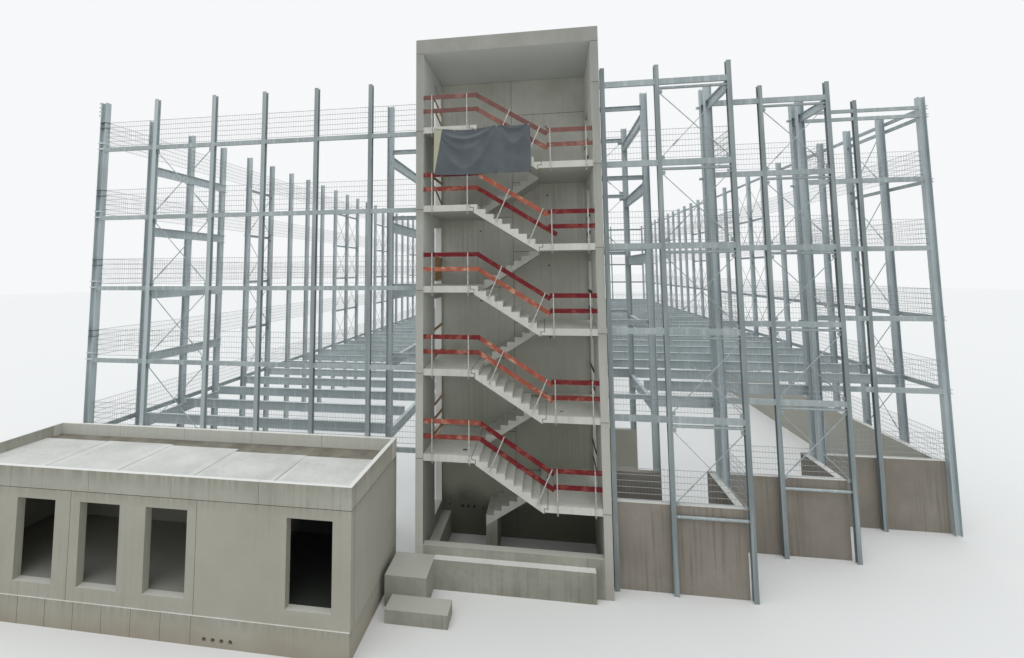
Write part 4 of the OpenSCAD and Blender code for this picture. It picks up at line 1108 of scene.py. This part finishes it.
left_wire_x = -left_row_x + col_w / 2 + wire_t
right_wire_x = right_row_x - col_w / 2 - wire_t
return_x = [right_x[i] + col_w / 2 - rod_t for i in (4, 2)]
front_wire_y = front_y + post_d / 2 + wire_t
step_wire_y = [y - set_back + post_d / 2 + wire_t for y in right_y[1:3]]
rear_set = 0.026
rear_left_y, rear_right_y = [ys[bays] - rear_set - rod_t for ys in (left_y, right_y)]
# The rows start and stop short of corners, the tower, and the columns that stand in pairs.
from_corner, to_corner, to_end, tower_side = 0.025, 0.02, 0.03, 1.61
from_return, from_pair, to_pair = 0.035, 0.08, 0.10
rear_left_end, rear_right_start = -1.44, 1.65
low_left, low_right = left_level[1], right_level[1]
for name, fields in (
        ("front_mesh_uprights",
         ((left_wire_x + from_corner, -tower_side, front_wire_y, front_wire_y, low_left),
          (tower_side, return_x[0], front_wire_y, front_wire_y, low_right),
          (return_x[0] + from_return, return_x[1], step_wire_y[0], step_wire_y[0], low_right),
          (return_x[1] + from_return, right_wire_x - to_corner, step_wire_y[1], step_wire_y[1], low_right),
          (return_x[0], return_x[0], front_wire_y + from_pair, step_wire_y[0] - to_pair, low_right),
          (return_x[1], return_x[1], step_wire_y[0] + from_pair, step_wire_y[1] - to_pair, low_right))),
        ("left_mesh_uprights",
         ((left_wire_x, left_wire_x, left_y[0] + from_corner, left_y[bays] - to_end, low_left),)),
        ("right_mesh_uprights",
         ((right_wire_x - rod_t, right_wire_x - rod_t, right_y[2] + from_pair, right_y[bays] - to_end,
           low_right),)),
        ("rear_mesh_uprights",
         ((left_wire_x + from_corner, rear_left_end, rear_left_y, rear_left_y, low_left),
          (rear_right_start, right_wire_x - to_corner, rear_right_y, rear_right_y, low_right)))):
    finish(join([mesh_field(*field) for field in fields]), name, wire_zinc)

# Plinth walls
# The walls under the right half were cast on the spot in boarded forms and are browner
# than the precast parts. A pale levelling strip of mortar lies along their tops.
plinth_concrete = concrete("plinth_concrete", (0.335, 0.305, 0.26), (0.265, 0.24, 0.205),
                           (0.19, 0.17, 0.14), 0.8, 0.35)
dress("plinth_walls", plinth_concrete)
tree = plinth_concrete.node_tree
# Further back the walls are painted much paler and greyer: a greyer concrete, made paler by painted light
# where they lie in shade.
rear_faces = ramp(tree, split_up(tree, place_in(tree))[1], 3.2, 3.4)
tone_over(tree, rear_faces, 0.7, (0.56, 0.56, 0.50))
plinth_top, strip_t = 1.34, 0.010
strips = [solid(x1, x2, y1, y2, plinth_top, plinth_top + strip_t, 0.003) for x1, x2, y1, y2 in (
    (1.5885, 3.6615, 0.3205, 0.4395), (3.5425, 3.6615, 0.4405, 1.6995),
    (3.6625, 5.8365, 1.7005, 1.8195), (5.7175, 5.8365, 1.8205, 2.9495),
    (5.8375, 8.2365, 2.9505, 3.0695), (8.1175, 8.2365, 3.0705, 32.7495))]
finish(join(strips), "plinth_levelling_strips", screed)

# Annexe
# The annexe is precast: wall panels on a plinth ledge, deep windows, roof slabs side by
# side and edge panels. Rain has left grey washes under the joints.
wall_joints, edge_joints = (1.903, 1.526, 0.16), (2.205, 1.526, 0.22)
annexe_concrete = concrete("annexe_concrete", (0.455, 0.44, 0.38), (0.405, 0.395, 0.335),
                           (0.30, 0.295, 0.245), 0.35, 0.2, joints=wall_joints)
for name in ("annexe_front_wall", "annexe_side_walls", "annexe_back_wall", "annexe_floor"):
    dress(name, annexe_concrete)
by_normal(annexe_concrete, 0.6, 0.9, (0.72, 0.71, 0.65), 0.8)
by_height(annexe_concrete, 0.45, 0.85, (0.34, 0.275, 0.205), 0.55)
# Inside, the walls and floor are painted darker as painted shade of the unlit interior, and the end by the
# tower is painted nearly black, a deeper painted shade.
tree = annexe_concrete.node_tree
coords = place_in(tree)
split = split_up(tree, coords)
inside = times(tree, split[0], -8.6401, "GREATER_THAN")
for axis, limit, test in ((0, -2.1099, "LESS_THAN"), (1, -1.6451, "GREATER_THAN"),
                          (1, 0.1201, "LESS_THAN")):
    inside = times(tree, inside, times(tree, split[axis], limit, test))
interior_shade_tone = blend(tree, noise(tree, coords, 2, 4), (0.36, 0.36, 0.32, 1), (0.29, 0.29, 0.255, 1))
interior_shade_tone = blend(tree, ramp(tree, split[0], -4.3, -3.7), interior_shade_tone, (0.035, 0.04, 0.035, 1))
tone_over(tree, inside, 1, interior_shade_tone)
edge_concrete = concrete("edge_concrete", (0.47, 0.465, 0.405), (0.395, 0.39, 0.335),
                         (0.26, 0.255, 0.205), 0.7, 0.2, joints=edge_joints)
by_normal(edge_concrete, 0.6, 0.9, (0.88, 0.88, 0.85), 0.85)
dress("annexe_edge_panels", edge_concrete)
tree = edge_concrete.node_tree
rear_faces = times(tree, split_up(tree, place_in(tree))[1], 0.0, "GREATER_THAN")
tone_over(tree, rear_faces, 0.5, (0.80, 0.80, 0.74))

# Chalky bands run along the joints of the roof slabs, and the gutter behind them is darker and browner.
roof_concrete, tree, shader, coords = new_material("roof_concrete", specular=0.3)
slab_w, roof_x = 1.326, -8.690
surface(tree, shader, cast, {"Vector": coords, "Light": (0.72, 0.725, 0.69, 1),
                             "Dark": (0.57, 0.575, 0.54, 1), "Streak": (0.36, 0.36, 0.33, 1),
                             "Streaks": 0.3}, 0.3)
split = split_up(tree, coords)
slab_at = times(tree, times(tree, split[0], -roof_x, "ADD"), slab_w, "DIVIDE")
slab_share = add_node(tree, "Math", {0: slab_at}, operation="FRACT").outputs[0]
to_joint = times(tree, slab_share, 0.5, "SUBTRACT")
to_joint = add_node(tree, "Math", {0: to_joint}, operation="ABSOLUTE").outputs[0]
brushed = stretched(tree, coords, (9, 1.1, 9), 5)
chalk = times(tree, ramp(tree, to_joint, 0.36, 0.50), ramp(tree, brushed, 0.38, 0.6))
tone_over(tree, chalk, 0.65, (0.80, 0.80, 0.78))
joint_dirt = times(tree, ramp(tree, to_joint, 0.485, 0.499), ramp(tree, brushed, 0.35, 0.5))
tone_over(tree, joint_dirt, 0.7, (0.22, 0.21, 0.18))
in_gutter = times(tree, split[2], 2.012, "LESS_THAN")
behind = times(tree, split[1], -0.6, "GREATER_THAN")
gutter_mottle = ramp(tree, noise(tree, coords, 3, 6), 0.35, 0.65)
gutter_tone = blend(tree, gutter_mottle, (0.27, 0.25, 0.205, 1), (0.175, 0.16, 0.13, 1))
tone_over(tree, times(tree, in_gutter, behind), 1, gutter_tone)
dress("annexe_roof", roof_concrete)

# Joints of the annexe are pointed with dark mortar that has run a little at the edges.
annexe_x1, annexe_x2, annexe_y1, annexe_y2 = -8.760, -1.990, -1.765, 0.240
wall_top, edge_top, edge_t, ledge_top = 1.903, 2.205, 0.070, 0.378
seam, joint_in = (wall_top - 0.004, wall_top + 0.004, 0.0005), 0.02
ring_parts = [solid(annexe_x1 - proud, annexe_x2 + proud, y1, y2, *seam)
              for y1, y2 in ((annexe_y1 - proud, annexe_y1 + joint_in),
                             (annexe_y2 - joint_in, annexe_y2 + proud))]
ring_parts += [solid(x, x + joint_in, annexe_y1, annexe_y2, *seam)
               for x in (annexe_x1 - proud, annexe_x2 - joint_in + proud)]
finish(join(ring_parts), "annexe_wall_top_joint", mortar)
panel_w = (annexe_x2 - annexe_x1) / 5
filler = solid(-0.005, 0, annexe_y1 + 0.003, annexe_y1 + edge_t - 0.003, wall_top, edge_top - 0.003)
pull(filler, lambda c, n: n.z > 0.9, (0, 0, 0.001))
filler_places = [at(annexe_x1 + i * panel_w, y, 0) for i in range(1, 5)
                 for y in (0, annexe_y2 - edge_t - annexe_y1)]
set_out(filler, filler_places, "edge_panel_joints", mortar)
side_joint = solid(-proud, joint_in, -0.003, 0.003, ledge_top, edge_top, 0.0005)
side_y = annexe_y1 + 0.120
side_places = [at(annexe_x1, side_y, 0), at(annexe_x2 - joint_in + proud, side_y, 0)]
set_out(side_joint, side_places, "corner_panel_joints", mortar)
post_joint = solid(-0.003, 0.003, annexe_y1 - proud, annexe_y1 + joint_in, ledge_top, wall_top, 0.0005)
set_out(post_joint, [at(x, 0, 0) for x in (-6.339, -4.282)], "wall_panel_joints", mortar)
low_joint = solid(-0.003, 0.003, annexe_y1 - 0.016 - proud, annexe_y1, 0, ledge_top, 0.0005)
set_out(low_joint, [at(-7.600 + 0.4715 * i, 0, 0) for i in range(8)], "plinth_ledge_joints",
        mortar)
ledge_edge = solid(annexe_x1, annexe_x2, annexe_y1 - 0.0165, annexe_y1, ledge_top, ledge_top + 0.004, 0.001)
finish(ledge_edge, "plinth_ledge_screed", screed)
